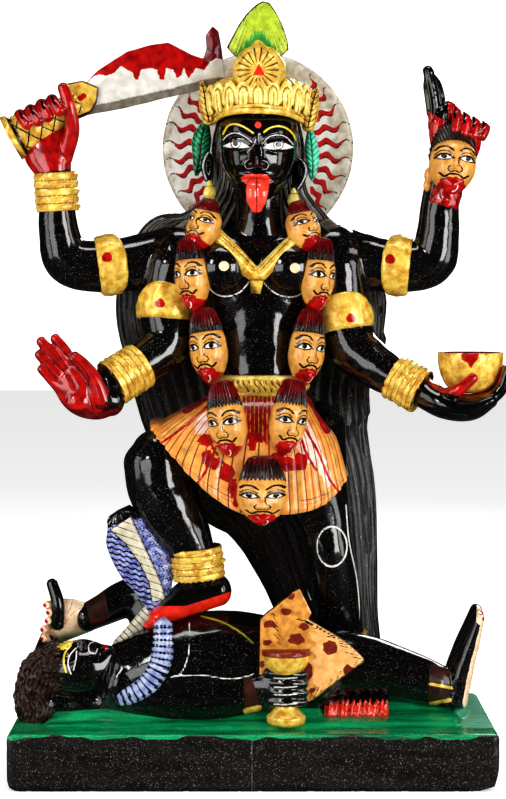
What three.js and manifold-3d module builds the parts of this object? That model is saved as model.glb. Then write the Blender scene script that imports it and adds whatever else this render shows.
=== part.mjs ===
// A painted black stone figure of Kali standing on the reclining Shiva, carved with its plinth from one
// block.
// +Z is up, the figure faces -Y, and the origin is the centre of the plinth's underside. Millimetres.
import * as THREE from "three";
import { mergeVertices } from "three/addons/utils/BufferGeometryUtils.js";
import Module from "manifold-3d";

// Driving dimensions
const FIGURE_HEIGHT = 566; // plinth top to the tip of the crest
const PLINTH_WIDTH = 376;
const PLINTH_DEPTH = 170;
const PLINTH_HEIGHT = 44;
const PLINTH_EDGE = 5; // rounding of the plinth's edges
const HALO_RADIUS = 77.5;
const HALO_THICKNESS = 11;
const HALO_EDGE = 3; // rounding of the halo's rim
const BOWL_RADIUS = 25.5; // outside, at the rim
const BOWL_HEIGHT = 32;
const BOWL_HOLLOW = 20; // depth of the hollow
const BOWL_WALL = 3.5;
const BLADE_THICKNESS = 9;
const CREST_THICKNESS = 13;

// The finish of the faceted surface
const FACETS = 9800; // most triangles in the solid
const WELD = 1e-3; // corners closer than this become one
const SHORT_FIRST = 2e-3; // how much a short edge is preferred, against the area times the squared distance
const PULLS_A_ROUND = 0.15; // share of the edges tried before the costs are worked out again
const LEAST_TURN = 0.3; // cosine of the most that a facet may tilt in one pull
const LEAST_FACET = 0.02; // twice the smallest facet's area

// The figure's own forms are shares of its height, on a grid whose zero is the middle of Kali's stance
const STEPS_IN_HEIGHT = 708;
const STEP = FIGURE_HEIGHT / STEPS_IN_HEIGHT;
const STANCE_BACK = 19; // steps from the plinth's centre line back to the grid's zero
const GROUND = 10; // height on the grid of the plinth's top
const HALO_CENTRE = [5, 48, 576];
const BOWL_BASE = [212, -56, 332];

const FRONT = new THREE.Vector3(0, -1, 0);
const UP = new THREE.Vector3(0, 0, 1);

// A point of the grid: x steps to the viewer's right, y steps back and z steps up
const at = (x, y, z) =>
  new THREE.Vector3(x * STEP, (y + STANCE_BACK) * STEP, PLINTH_HEIGHT + (z - GROUND) * STEP);

const wasm = await Module();
wasm.setup();

// A closed geometry as a solid for joins
function solid(geometry) {
  const bare = geometry.clone();
  bare.deleteAttribute("normal");
  bare.deleteAttribute("uv");
  const merged = mergeVertices(bare, 1e-4);
  const vertProperties = merged.attributes.position.array;
  const triVerts = new Uint32Array(merged.index.array);
  const made = new wasm.Manifold(new wasm.Mesh({ numProp: 3, vertProperties, triVerts }));
  if (made.volume() > 0) return made;
  for (let i = 0; i < triVerts.length; i += 3) {
    [triVerts[i + 1], triVerts[i + 2]] = [triVerts[i + 2], triVerts[i + 1]];
  }
  return new wasm.Manifold(new wasm.Mesh({ numProp: 3, vertProperties, triVerts }));
}

const join = (solids) => solids.reduce((whole, next) => whole.add(next));

// Turns a geometry by degrees about Z, Y and X in that order and carries it to a place on the grid
function placed(geometry, centre, turn = [0, 0, 0]) {
  geometry.applyMatrix4(
    new THREE.Matrix4().makeRotationFromEuler(new THREE.Euler(...turn.map(THREE.MathUtils.degToRad))),
  );
  const to = at(...centre);
  return geometry.translate(to.x, to.y, to.z);
}

// A value that runs smoothly through the stations, at the share t of the way along
function along(values, t) {
  const points = values.map((value) => new THREE.Vector3(value, 0, 0));
  return new THREE.CatmullRomCurve3(points, false, "catmullrom").getPoint(t).x;
}

// A body through stations [x, y, z, half width, half depth] with rounded ends. The half width lies across
// the line of the stations as it is seen from the facing side. relief(angle, t) scales the section.
function limb(stations, { sides = 12, rings = 8, tip = 0.8, end = 0.8, facing = FRONT, relief } = {}) {
  const line = new THREE.CatmullRomCurve3(
    stations.map(([x, y, z]) => at(x, y, z)),
    false,
    "centripetal",
  );
  const capRows = 2;
  const rows = rings + 2 * capRows;
  const geometry = new THREE.SphereGeometry(1, sides, rows);
  const place = geometry.attributes.position;
  for (let row = 0; row <= rows; row++) {
    const t = THREE.MathUtils.clamp((row - capRows) / rings, 0, 1);
    const fromTip = Math.min(row / capRows, 1);
    const fromEnd = Math.min((rows - row) / capRows, 1);
    const share = Math.sin((Math.min(fromTip, fromEnd) * Math.PI) / 2);
    const across = STEP * along(stations.map((s) => s[3]), t);
    const deep = STEP * along(stations.map((s) => s[4] ?? s[3]), t);
    const forward = line.getTangent(t);
    const side = new THREE.Vector3().crossVectors(forward, facing).normalize();
    const out = new THREE.Vector3().crossVectors(side, forward).normalize();
    const cap = Math.min(across, deep) * Math.sqrt(1 - share * share) * (fromTip < 1 ? -tip : end);
    for (let column = 0; column <= sides; column++) {
      const angle = (2 * Math.PI * (column % sides)) / sides;
      const swell = share * (relief ? relief(angle, t) : 1);
      const point = line
        .getPoint(t)
        .addScaledVector(forward, cap)
        .addScaledVector(side, Math.cos(angle) * across * swell)
        .addScaledVector(out, Math.sin(angle) * deep * swell);
      place.setXYZ(row * (sides + 1) + column, point.x, point.y, point.z);
    }
  }
  return solid(geometry);
}

// An egg with half sizes in steps
function egg(centre, [width, depth, height], turn) {
  const geometry = new THREE.SphereGeometry(1, 12, 9);
  geometry.rotateX(Math.PI / 2);
  geometry.scale(width * STEP, depth * STEP, height * STEP);
  return solid(placed(geometry, centre, turn));
}

// How far a face stands out from a plain egg, as a share of the head's half depth. across and up run
// from -1 to 1 over the head as it is seen from the front.
function faceRelief(across, up) {
  const from = Math.abs(across);
  const swell = (a, u, wide, tall, height) =>
    height * Math.exp(-(((from - a) / wide) ** 2) - ((up - u) / tall) ** 2);
  return (
    swell(0, -0.02, 0.12, 0.22, 0.13) + // bridge of the nose
    swell(0, -0.2, 0.14, 0.1, 0.16) + // tip of the nose
    swell(0.16, -0.22, 0.09, 0.08, 0.06) + // nostrils
    swell(0.4, 0.24, 0.26, 0.08, 0.05) + // brows
    swell(0.4, 0.08, 0.16, 0.09, 0.03) - // eyeballs
    swell(0.27, 0.05, 0.16, 0.16, 0.06) + // sockets
    swell(0, -0.44, 0.24, 0.09, 0.1) + // lips
    swell(0, -0.76, 0.28, 0.16, 0.12) + // chin
    swell(0.5, -0.18, 0.24, 0.24, 0.03) // cheeks
  );
}

// A head with a modelled face and a jaw that narrows to the chin
function head(centre, [width, depth, height], turn, fineness = 12) {
  const geometry = new THREE.SphereGeometry(1, fineness, fineness, Math.PI / 2);
  geometry.rotateX(Math.PI / 2);
  const place = geometry.attributes.position;
  for (let i = 0; i < place.count; i++) {
    const [x, y, z] = [place.getX(i), place.getY(i), place.getZ(i)];
    const jaw = 1 - 0.28 * Math.max(0, -z) ** 1.5;
    const relief = y < -0.2 ? faceRelief(x, z) * Math.min(1, -2 * y) : 0;
    place.setXYZ(i, x * jaw * width * STEP, (y - relief) * depth * STEP, z * height * STEP);
  }
  return solid(placed(geometry, centre, turn));
}

// A turned form about an axis between two points. The profile gives [share of the length, radius in steps].
function turned(from, to, profile, sides = 16) {
  const [start, end] = [at(...from), at(...to)];
  const length = start.distanceTo(end);
  const points = profile.map(([share, radius]) => new THREE.Vector2(radius * STEP, share * length));
  const outline = [new THREE.Vector2(0, points[0].y), ...points, new THREE.Vector2(0, points.at(-1).y)];
  const geometry = new THREE.LatheGeometry(outline, sides);
  const way = end.clone().sub(start).normalize();
  geometry.applyQuaternion(new THREE.Quaternion().setFromUnitVectors(new THREE.Vector3(0, 1, 0), way));
  return solid(geometry.translate(start.x, start.y, start.z));
}

// A plain band round a limb, swelling in the middle
const armlet = (from, to, radius) => turned(from, to, [[0, radius - 2], [0.5, radius], [1, radius - 2]]);

// A stack of three round bangles on a wrist or an ankle
const bangles = (from, to, radius) =>
  turned(from, to, [0, 1, 2, 3, 4, 5, 6].map((k) => [k / 6, k % 2 ? radius : radius - 2.5]), 14);

// A plate of even thickness with the outline that the viewer sees
function plate(outline, depth, thickness) {
  const shape = new THREE.Shape(outline.map(([x, z]) => new THREE.Vector2(at(x, 0, z).x, at(x, 0, z).z)));
  const geometry = new THREE.ExtrudeGeometry(shape, { depth: thickness, bevelEnabled: false });
  geometry.rotateX(Math.PI / 2);
  return solid(geometry.translate(0, at(0, depth, 0).y + thickness / 2, 0));
}

// A finger or toe through points, tapering to its tip
const finger = (points, radius, facing) =>
  limb(
    points.map((point, i) => [...point, radius * (1 - (0.25 * i) / (points.length - 1)), 0.9 * radius]),
    { sides: 7, rings: points.length, facing },
  );

// The rectangular plinth, with rounded edges and a flat underside
function plinth() {
  const [w, d] = [PLINTH_WIDTH / 2 - PLINTH_EDGE, PLINTH_DEPTH / 2 - PLINTH_EDGE];
  const outline = new THREE.Shape();
  outline.moveTo(-w, -d).lineTo(w, -d).lineTo(w, d).lineTo(-w, d);
  const geometry = new THREE.ExtrudeGeometry(outline, {
    depth: PLINTH_HEIGHT - 2 * PLINTH_EDGE,
    bevelThickness: PLINTH_EDGE,
    bevelSize: PLINTH_EDGE,
    bevelSegments: 3,
  });
  return solid(geometry.translate(0, 0, PLINTH_EDGE));
}

// The ground left standing under the figures, higher under the legs
function ground() {
  return join([
    limb([[-196, -18, 10, 7, 70], [-60, -22, 10, 9, 76], [60, -22, 10, 9, 76], [196, -18, 10, 9, 66]]),
    limb([[30, -10, 12, 16, 44], [120, -6, 12, 20, 48], [200, -4, 10, 16, 46]]),
    limb([[-188, -40, 12, 16, 34], [-120, -42, 14, 20, 40], [-40, -36, 14, 20, 46], [60, -30, 14, 18, 44]]),
  ]);
}

// Kali's trunk, neck and breasts
function trunk() {
  return join([
    limb(
      [
        [12, 2, 278, 62, 42],
        [10, 0, 312, 56, 40],
        [7, -3, 348, 44, 33],
        [5, -4, 390, 47, 34],
        [4, -3, 434, 62, 37],
        [4, 0, 466, 74, 33],
        [4, 3, 484, 58, 26],
      ],
      { sides: 18, rings: 11, tip: 0.4, end: 0.4 },
    ),
    limb([[6, 0, 478, 34, 26], [6, -4, 502, 25, 24], [6, -8, 530, 24, 25]], { rings: 3 }),
    egg([-31, -29, 454], [28, 25, 27]),
    egg([36, -29, 454], [28, 25, 27]),
    egg([-58, -22, 458], [16, 14, 20]),
    egg([66, -22, 458], [16, 14, 20]),
  ]);
}

// Kali's rear pair of arms, raised with the sword and the severed head
function rearArms() {
  return join([
    limb([
      [-60, 8, 474, 30],
      [-105, 4, 462, 28],
      [-150, 0, 456, 26],
      [-184, -2, 462, 24],
      [-193, -6, 490, 20],
      [-195, -10, 530, 17],
      [-197, -14, 556, 17],
    ]),
    limb([
      [70, 8, 474, 30],
      [110, 4, 462, 28],
      [148, 0, 456, 26],
      [178, -2, 462, 24],
      [184, -6, 490, 21],
      [187, -8, 530, 18],
      [196, -10, 560, 17],
    ]),
    bangles([-194, -9, 511], [-196, -11, 549], 23),
    armlet([-131, 2, 459], [-153, 0, 456], 30),
    armlet([133, 2, 458], [155, 0, 456], 30),
  ]);
}

// Kali's front pair of arms, the right one open-handed and the left one with the bowl
function frontArms() {
  return join([
    egg([-72, -4, 464], [32, 29, 34]),
    egg([80, -4, 464], [32, 29, 34]),
    limb([
      [-78, -8, 455, 29],
      [-87, -12, 415, 26],
      [-84, -18, 382, 25],
      [-106, -32, 362, 21],
      [-140, -50, 340, 16],
    ]),
    limb([
      [84, -8, 455, 28],
      [90, -12, 410, 26],
      [98, -18, 378, 26],
      [124, -34, 356, 22],
      [164, -52, 334, 16],
    ]),
    bangles([-113, -36, 357], [-138, -49, 341], 24),
    bangles([140, -42, 347], [165, -52, 333], 24),
    armlet([-85, -10, 432], [-88, -13, 404], 29),
    armlet([88, -11, 425], [92, -14, 396], 29),
  ]);
}

// The right front hand, palm to the viewer with its fingers raised
function openHand() {
  const fingers = [
    [[-170, 362], [-184, 378], [-199, 392]],
    [[-177, 356], [-195, 374], [-211, 389]],
    [[-184, 346], [-200, 361], [-214, 374]],
    [[-188, 335], [-201, 347], [-212, 358]],
  ];
  return join([
    limb([
      [-136, -48, 341, 17, 15],
      [-152, -56, 329, 25, 13],
      [-170, -59, 340, 27, 11],
      [-184, -59, 352, 21, 9],
    ]),
    ...fingers.map((line) => finger(line.map(([x, z]) => [x, -58, z]), 7.5)),
    finger([[-142, -60, 344], [-156, -66, 354], [-170, -67, 368]], 8),
  ]);
}

// The left front hand, palm up under the bowl, with the fingers curled round it
function bowlHand() {
  const [x, y, z] = BOWL_BASE;
  const beside = x + BOWL_RADIUS / STEP; // the bowl's side away from the wrist
  return join([
    limb([
      [166, -53, 333, 15, 17],
      [188, -60, 321, 14, 26],
      [x, -61, z - 13, 13, 28],
      [x + 18, -61, z - 5, 9, 26],
    ]),
    ...[-20, -10, 0, 10].map((back) => {
      const depth = y + back;
      return finger([[x + 8, depth, z - 10], [beside - 5, depth, z + 4], [beside + 2, depth, z + 24]], 7);
    }),
    finger([[184, -72, 331], [196, -86, 336], [x, y - BOWL_RADIUS / STEP + 2, z + 17]], 7),
  ]);
}

// The bowl, with its hollow open at the top
function bowl() {
  const base = at(...BOWL_BASE);
  const rim = base.z + BOWL_HEIGHT;
  const side = (radius, low, shares) =>
    shares.map((share) => {
      const out = Math.sin((share * Math.PI) / 2) ** 0.7;
      return new THREE.Vector2(radius * out, low + (rim - low) * share * share);
    });
  const outside = side(BOWL_RADIUS, base.z, [0, 0.2, 0.4, 0.6, 0.8, 1]);
  const inside = side(BOWL_RADIUS - BOWL_WALL, rim - BOWL_HOLLOW, [1, 0.75, 0.5, 0.25, 0]);
  const geometry = new THREE.LatheGeometry([...outside, ...inside], 24);
  geometry.rotateX(Math.PI / 2);
  return solid(geometry.translate(base.x, base.y, 0));
}

// The right rear hand, a fist round the sword's hilt
function swordHand() {
  const across = (k) => [-198 - 11 * k, 616 - 6 * k];
  return join([
    limb([[-198, -12, 550, 18, 16], [-203, -12, 570, 25, 17], [-204, -10, 594, 22, 15]]),
    limb([[-186, -14, 566, 11, 12], [-181, -18, 594, 9, 11], [-190, -22, 626, 8, 9]], {
      sides: 8,
      rings: 4,
    }),
    ...[0, 1, 2, 3].map((k) => {
      const [x, z] = across(k);
      return finger([[x, 8, z - 6], [x - 1, -14, z + 6], [x + 2, -32, z - 4], [x + 5, -32, z - 20]], 7.5, UP);
    }),
  ]);
}

// The broad sword with its pommel, grip, collar and hooked point
function sword() {
  const blade = [
    [-172, 632], [-153, 650], [-125, 668], [-100, 675], [-84, 677], [-60, 665], [-49, 661], [-46, 670],
    [-47, 684], [-40, 693], [-34, 688], [-30, 664], [-27, 638], [-58, 629], [-85, 623], [-125, 613],
    [-158, 607], [-172, 604],
  ];
  const collar = [
    [-184, 600], [-184, 636], [-168, 639], [-152, 632], [-154, 618], [-160, 608], [-175, 602],
  ];
  const hilt = [[0, 25], [0.08, 24], [0.2, 17], [0.5, 14], [0.8, 15], [1, 17]];
  return join([
    turned([-242, -13, 578], [-172, -10, 618], hilt, 14),
    plate(collar, -8, BLADE_THICKNESS + 10 * STEP),
    plate(blade, -8, BLADE_THICKNESS),
  ]);
}

// The left rear hand, a fist with one finger raised, that holds the severed head by its hair
function headHand() {
  return join([
    limb([[196, -8, 556, 19, 15], [203, -8, 580, 24, 15], [206, -8, 602, 22, 14]]),
    limb([[186, -18, 566, 9, 10], [184, -20, 594, 10, 11], [194, -20, 612, 8, 9]], { sides: 8, rings: 4 }),
    ...[0, 1, 2, 3].map((k) => {
      const [x, z] = [200 + 9.5 * k, 614 - 5 * k];
      return finger([[x - 1, 6, z - 8], [x, -10, z + 2], [x + 1, -24, z - 8], [x + 1, -26, z - 26]], 6, UP);
    }),
    finger([[188, -14, 596], [181, -13, 626], [175, -12, 651]], 9),
  ]);
}

// The severed head, hanging by its hair in front of the wrist
function severedHead() {
  return join([
    head([196, -36, 552], [23, 22, 29], [-4, 0, 0], 12),
    limb([[196, -30, 566, 23, 20], [200, -26, 586, 20, 14]], { rings: 3 }),
    turned([195, -34, 532], [193, -32, 516], [[0, 15], [1, 16]], 10),
    egg([173, -30, 543], [5, 5, 8]),
  ]);
}

// Kali's head with her tongue, ears, earrings and the leaves beside her ears
function kaliHead() {
  return join([
    head([5.5, -14, 567], [38, 42, 52], [4, 0, 0], 24),
    limb([[5, -52, 541, 12, 6], [4, -59, 532, 12, 5], [3, -58, 518, 10, 4], [3, -54, 508, 6, 4]], {
      sides: 8,
    }),
    ...[-1, 1].flatMap((side) => [
      egg([5 + side * 39, -6, 552], [6, 9, 19], [0, side * 8, 0]),
      egg([side * 41, -14, 526], [6, 6, 12]),
      limb([
        [5 + side * 42, 8, 592, 7, 10],
        [5 + side * 50, 10, 568, 10, 12],
        [5 + side * 45, 10, 538, 5, 9],
      ]),
    ]),
  ]);
}

// The crown: a rolled band, a fluted cup of petals, a wing at each end and a rosette in front
function crown() {
  const cupPetals = 18;
  const rosetteFlutes = 18;
  return join([
    limb([[5, -6, 594, 50, 47], [5, -9, 600, 53, 50], [5, -9, 606, 50, 47]], {
      sides: 28,
      rings: 2,
      tip: 0.1,
      end: 0.1,
    }),
    limb([[5, -8, 602, 49, 46], [5, -8, 616, 54, 49], [5, -8, 630, 56, 46], [5, -6, 640, 42, 34]], {
      sides: 4 * cupPetals,
      rings: 4,
      end: 0.4,
      relief: (angle, t) => 1 + 0.035 * Math.abs(Math.sin((cupPetals * angle) / 2)) * (0.4 + t),
    }),
    limb([[6, -36, 645, 25, 26], [6, -46, 645, 25, 27], [6, -54, 645, 19, 20]], {
      sides: 2 * rosetteFlutes,
      rings: 3,
      tip: 0,
      end: 0.2,
      facing: UP,
      relief: (angle) =>
        1 + 0.035 * Math.cos(rosetteFlutes * angle) + 0.1 * Math.max(0, Math.sin(angle)) ** 8,
    }),
    ...[-1, 1].map((side) =>
      limb([
        [5 + side * 52, -14, 594, 7, 14],
        [5 + side * 58, -14, 612, 8, 15],
        [5 + side * 57, -12, 637, 5, 9],
      ]),
    ),
  ]);
}

// The leaf crest, two fluted lobes that part over the rosette
function crest() {
  const deep = CREST_THICKNESS / (2 * STEP);
  const lobe = (side) =>
    limb(
      [
        [5 + side * 3, -17, 713, 9, deep * 0.7],
        [5 + side * 9, -18, 690, 14, deep],
        [5 + side * 15, -19, 672, 15, deep],
        [5 + side * 18, -19, 663, 10, deep * 0.8],
      ],
      { sides: 24, end: 0.4, relief: (angle) => 1 + 0.04 * Math.cos(12 * angle) },
    );
  return join([lobe(-1), lobe(1), egg([5, -16, 690], [13, deep, 25]), egg([5, -16, 662], [16, deep, 18])]);
}

// The halo, a thick round disc with a softened rim behind the head
function halo() {
  const half = HALO_THICKNESS / 2;
  const outline = [
    new THREE.Vector2(0, -half),
    new THREE.Vector2(HALO_RADIUS - HALO_EDGE, -half),
    new THREE.Vector2(HALO_RADIUS, HALO_EDGE - half),
    new THREE.Vector2(HALO_RADIUS, half - HALO_EDGE),
    new THREE.Vector2(HALO_RADIUS - HALO_EDGE, half),
    new THREE.Vector2(0, half),
  ];
  return solid(placed(new THREE.LatheGeometry(outline, 48), HALO_CENTRE));
}

// The hair, a combed sheet that spreads over the shoulders and falls to the plinth behind the figure
function hair() {
  const locks = 22;
  return limb(
    [
      [5, 14, 614, 38, 32],
      [5, 16, 580, 46, 34],
      [5, 20, 532, 50, 32],
      [4, 26, 500, 80, 26],
      [0, 34, 474, 118, 20],
      [-2, 44, 424, 137, 19],
      [1, 48, 370, 131, 20],
      [5, 50, 315, 116, 21],
      [22, 50, 265, 104, 22],
      [48, 50, 214, 80, 23],
      [66, 48, 155, 62, 24],
      [78, 46, 100, 50, 25],
      [90, 44, 50, 42, 26],
      [95, 42, 4, 40, 26],
    ],
    {
      sides: 3 * locks,
      rings: 13,
      tip: 0.4,
      end: 0.3,
      relief: (angle) => 1 + 0.03 * Math.cos(locks * angle),
    },
  );
}

// Kali's bent right leg, with its foot on Shiva's chest
function bentLeg() {
  return join([
    limb([[-10, -4, 284, 42, 40], [-54, -26, 276, 36, 36], [-94, -48, 264, 32, 31]]),
    limb([
      [-95, -48, 264, 32],
      [-92, -48, 242, 32],
      [-82, -49, 220, 32],
      [-70, -50, 198, 28],
      [-60, -52, 178, 22],
      [-54, -50, 150, 20],
    ]),
    limb([
      [-34, -48, 138, 16, 17],
      [-56, -50, 134, 19, 18],
      [-80, -54, 121, 14, 19],
      [-96, -58, 112, 8, 18],
    ]),
    ...[0, 1, 2, 3, 4].map((k) => finger([[-92, -70 + 7 * k, 109], [-104, -72 + 7 * k, 106]], 4.5)),
    bangles([-56, -52, 180], [-53, -51, 150], 26),
  ]);
}

// Kali's straight left leg, behind Shiva, with its foot forward under his legs
function standingLeg() {
  return join([
    limb([
      [46, 4, 290, 48, 40],
      [56, 2, 240, 40, 36],
      [70, 0, 196, 29, 28],
      [75, -2, 172, 26, 27],
      [80, 4, 138, 27, 28],
      [87, 12, 98, 25, 24],
      [93, 18, 60, 20, 20],
      [95, 20, 20, 19, 20],
    ]),
    limb([[96, 16, 18, 20, 14], [99, -30, 20, 26, 14], [102, -52, 20, 30, 11]], { facing: UP }),
    ...[0, 1, 2, 3, 4].map((k) => finger([[76 + 12.5 * k, -50, 21], [75 + 13 * k, -68, 19]], 8, UP)),
    bangles([92, 16, 92], [94, 18, 72], 25),
  ]);
}

// The pleated skirt, a bell that rides up over the raised thigh, with its belt
function skirt() {
  const pleats = 26;
  const columns = 3 * pleats;
  const rounded = (share, power) => Math.sign(share) * Math.abs(share) ** power;
  // Rings of the cloth from the belt over the hem and back inside: middle, half width, half depth, height
  // at the front, and how much higher the two sides and the back are
  const rings = [
    [7, -2, 0, 0, 352, 0, 0, 0],
    [7, -3, 42, 36, 350, 0, 0, 0],
    [4, -6, 60, 54, 320, 12, 14, 10],
    [-1, -9, 82, 68, 278, 38, 34, 20],
    [-4, -12, 94, 75, 240, 62, 48, 36],
    [-4, -12, 96, 78, 218, 82, 56, 52],
    [-4, -12, 86, 66, 226, 76, 50, 48],
    [6, -6, 0, 0, 290, 0, 0, 0],
  ];
  const geometry = new THREE.SphereGeometry(1, columns, rings.length - 1);
  const place = geometry.attributes.position;
  rings.forEach(([x, y, width, depth, height, left, right, back], row) => {
    for (let column = 0; column <= columns; column++) {
      const angle = (2 * Math.PI * (column % columns)) / columns;
      const [across, deep] = [Math.cos(angle), Math.sin(angle)];
      const lift =
        (across < 0 ? left * across ** 2 : right * across ** 6) + (deep > 0 ? back * deep ** 2 : 0);
      const fold = 1 + 0.018 * Math.cos(pleats * angle);
      const forward = deep < 0 ? 1 + 0.12 * Math.max(0, -across) : 1; // fuller over the raised thigh
      const point = at(
        x + rounded(across, 0.85) * width * fold,
        y + rounded(deep, 0.5) * depth * fold * forward,
        height + lift,
      );
      place.setXYZ(row * (columns + 1) + column, point.x, point.y, point.z);
    }
  });
  const belt = limb([[7, -3, 334, 45, 38], [7, -3, 344, 47, 40], [7, -3, 354, 45, 36]], {
    sides: 22,
    rings: 2,
    tip: 0.1,
    end: 0.1,
  });
  return join([solid(geometry), belt]);
}

// The garland of severed heads, each with its tuft of hair
function garland() {
  const heads = [
    { place: [-50, -32, 486], size: [17, 16, 25], turn: [-24, 16, 24] },
    { place: [-59, -42, 440], size: [17, 18, 30], turn: [0, -6, 18] },
    { place: [-43, -44, 370], size: [19, 18, 31], turn: [0, -8, 12] },
    { place: [-24, -78, 300], size: [19, 18, 30], turn: [6, -10, 10] },
    { place: [9, -94, 233], size: [25, 20, 27], turn: [10, 0, 0] },
    { place: [33, -78, 302], size: [18, 18, 30], turn: [6, 10, -10] },
    { place: [52, -44, 369], size: [18, 18, 31], turn: [0, 8, -12] },
    { place: [63, -42, 439], size: [16, 18, 30], turn: [0, 8, -18] },
    { place: [51, -32, 484], size: [17, 16, 25], turn: [-24, -16, -24] },
  ];
  return join(
    heads.flatMap(({ place, size, turn }) => {
      const [x, y, z] = place;
      const lean = -Math.sin(THREE.MathUtils.degToRad(turn[1])) * size[2];
      const tuft = [
        [x - 0.6 * lean, y + 5, z + 0.6 * size[2], 0.85 * size[0], 0.8 * size[1]],
        [x - 1.4 * lean, y + 10, z + 1.35 * size[2], 0.45 * size[0], 0.5 * size[1]],
      ];
      return [head(place, size, turn, 10), limb(tuft, { sides: 8, rings: 2 })];
    }),
  );
}

// The collar that meets in a point between the breasts, with its drop
function collar() {
  const strap = (side) =>
    limb(
      [[5 + side * 46, -20, 490, 7, 8], [5 + side * 27, -38, 469, 7, 7], [4 + side * 4, -43, 443, 8, 7]],
      { sides: 6, rings: 4 },
    );
  return join([strap(-1), strap(1), egg([3, -42, 431], [8, 8, 12])]);
}

// Shiva's head, lying face up with its crown to the viewer's left, and his knot of hair
function shivaHead() {
  const locks = 9;
  return join([
    head([-170, -50, 60], [29, 28, 44], [-65, -90, 0], 18),
    limb(
      [[-186, -48, 60, 27, 30], [-206, -46, 50, 24, 28], [-213, -46, 34, 21, 27], [-212, -46, 16, 21, 27]],
      { sides: 3 * locks, relief: (angle) => 1 + 0.05 * Math.cos(locks * angle) },
    ),
    limb([[-146, -46, 54, 22, 26], [-112, -44, 58, 32, 36]], { rings: 2 }),
    limb([[-196, -42, 24, 20, 26], [-150, -42, 26, 22, 30], [-116, -44, 34, 30, 34]]),
  ]);
}

// Shiva's trunk and his legs, with both feet upright
function shivaBody() {
  const foot = (x, y) =>
    limb([[x, y, 28, 13, 18], [x + 6, y, 58, 12, 18], [x + 16, y, 90, 9, 18], [x + 23, y, 112, 6, 16]]);
  return join([
    limb(
      [
        [-122, -44, 52, 36, 42],
        [-90, -42, 58, 48, 50],
        [-50, -40, 60, 55, 51],
        [-8, -38, 60, 54, 48],
        [30, -34, 56, 48, 46],
        [62, -32, 50, 42, 44],
      ],
      { sides: 16, rings: 9 },
    ),
    limb([[50, -38, 58, 42, 34], [100, -36, 60, 34, 29], [142, -36, 53, 27, 25], [182, -40, 42, 21, 20]]),
    limb([[44, -4, 52, 40, 30], [100, 0, 52, 33, 28], [142, 0, 46, 26, 24], [180, -2, 38, 20, 19]]),
    foot(200, -41),
    foot(195, -1),
    armlet([175, -39, 43], [190, -41, 39], 24),
  ]);
}

// Shiva's near arm along the plinth's front edge, and his raised far arm with one finger up
function shivaArms() {
  return join([
    limb([
      [-124, -56, 46, 32, 32],
      [-92, -66, 38, 27, 24],
      [-50, -74, 36, 23, 19],
      [-6, -76, 41, 21, 17],
      [20, -78, 48, 19, 14],
    ]),
    armlet([-13, -76, 40], [0, -76, 43], 24),
    ...[0, 1, 2, 3].map((k) => {
      const height = 64 - 9 * k;
      return finger([[20, -87, height], [33, -97, height], [46, -92, height]], 5.5);
    }),
    limb([
      [-92, -14, 92, 24],
      [-110, 0, 124, 21],
      [-130, 0, 121, 19],
      [-150, -6, 112, 16],
      [-168, -11, 104, 14],
    ]),
    limb([[-166, -12, 105, 14, 9], [-180, -15, 102, 19, 10], [-193, -16, 99, 18, 9]]),
    ...[0, 1, 2, 3].map((k) =>
      finger([[-194, -12, 111 - 9 * k], [-207, -18, 110 - 9 * k], [-202, -27, 108 - 9 * k]], 5),
    ),
    finger([[-190, -25, 90], [-196, -24, 116], [-203, -20, 142]], 7.5),
    finger([[-206, -16, 86], [-213, -26, 68], [-210, -36, 50]], 7),
    limb([[-112, 0, 122, 20, 18], [-96, -14, 92, 24, 22]], { rings: 2 }),
  ]);
}

// The cobra, its hood spread beside Kali's shin and its body round Shiva's neck
function cobra() {
  return join([
    limb([
      [-136, -50, 212, 12, 11],
      [-127, -48, 197, 25, 10],
      [-116, -48, 179, 30, 9],
      [-105, -49, 157, 25, 9],
      [-97, -50, 138, 14, 10],
      [-88, -52, 120, 10, 10],
    ]),
    limb([[-98, -46, 134, 10], [-112, -36, 114, 10], [-124, -26, 96, 10], [-126, -16, 76, 9]], { sides: 8 }),
    limb(
      [[-86, -64, 122, 10], [-86, -82, 104, 10], [-90, -93, 78, 10], [-104, -95, 55, 10], [-128, -86, 42, 10]],
      { sides: 8 },
    ),
  ]);
}

// The leopard skin round Shiva's hips, with a flap that stands up and one that ends in a point
function skin() {
  const flap = [[8, 104], [30, 118], [54, 110], [111, 73], [62, 32], [40, 24], [12, 44]];
  return join([
    limb([[14, -36, 58, 56, 52], [44, -36, 56, 50, 50], [76, -36, 58, 42, 42]], {
      rings: 3,
      tip: 0.1,
      end: 0.1,
    }),
    plate(flap, -84, 12 * STEP),
    limb([[26, -46, 98, 22, 22], [42, -34, 118, 15, 16], [44, -24, 140, 9, 8]], { rings: 4 }),
  ]);
}

// The waisted drum that stands in Shiva's near hand
function drum() {
  const profile = [[0, 19], [0.14, 20], [0.28, 17], [0.42, 12], [0.6, 12], [0.8, 20], [0.97, 24], [1, 22]];
  return turned([32, -88, 16], [32, -88, 87], profile);
}

const forms = [
  plinth, ground, trunk, rearArms, frontArms, openHand, bowlHand, bowl, swordHand, sword, headHand,
  severedHead, kaliHead, crown, crest, halo, hair, bentLeg, standingLeg, skirt, garland, collar,
  shivaHead, shivaBody, shivaArms, cobra, skin, drum,
];

// The part of a facet's plane in the sum of squared distances from the planes round a corner
function planeTerms(a, b, c) {
  const normal = new THREE.Vector3().crossVectors(b.clone().sub(a), c.clone().sub(a));
  const area = normal.length();
  normal.normalize();
  const plane = [normal.x, normal.y, normal.z, -normal.dot(a)];
  return plane.map((first) => plane.map((second) => first * second * area));
}

// The sum of squared distances at a point
function offPlanes(terms, point) {
  const place = [point.x, point.y, point.z, 1];
  const dot = (row) => row.reduce((sum, term, i) => sum + term * place[i], 0);
  return dot(terms.map(dot));
}

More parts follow.
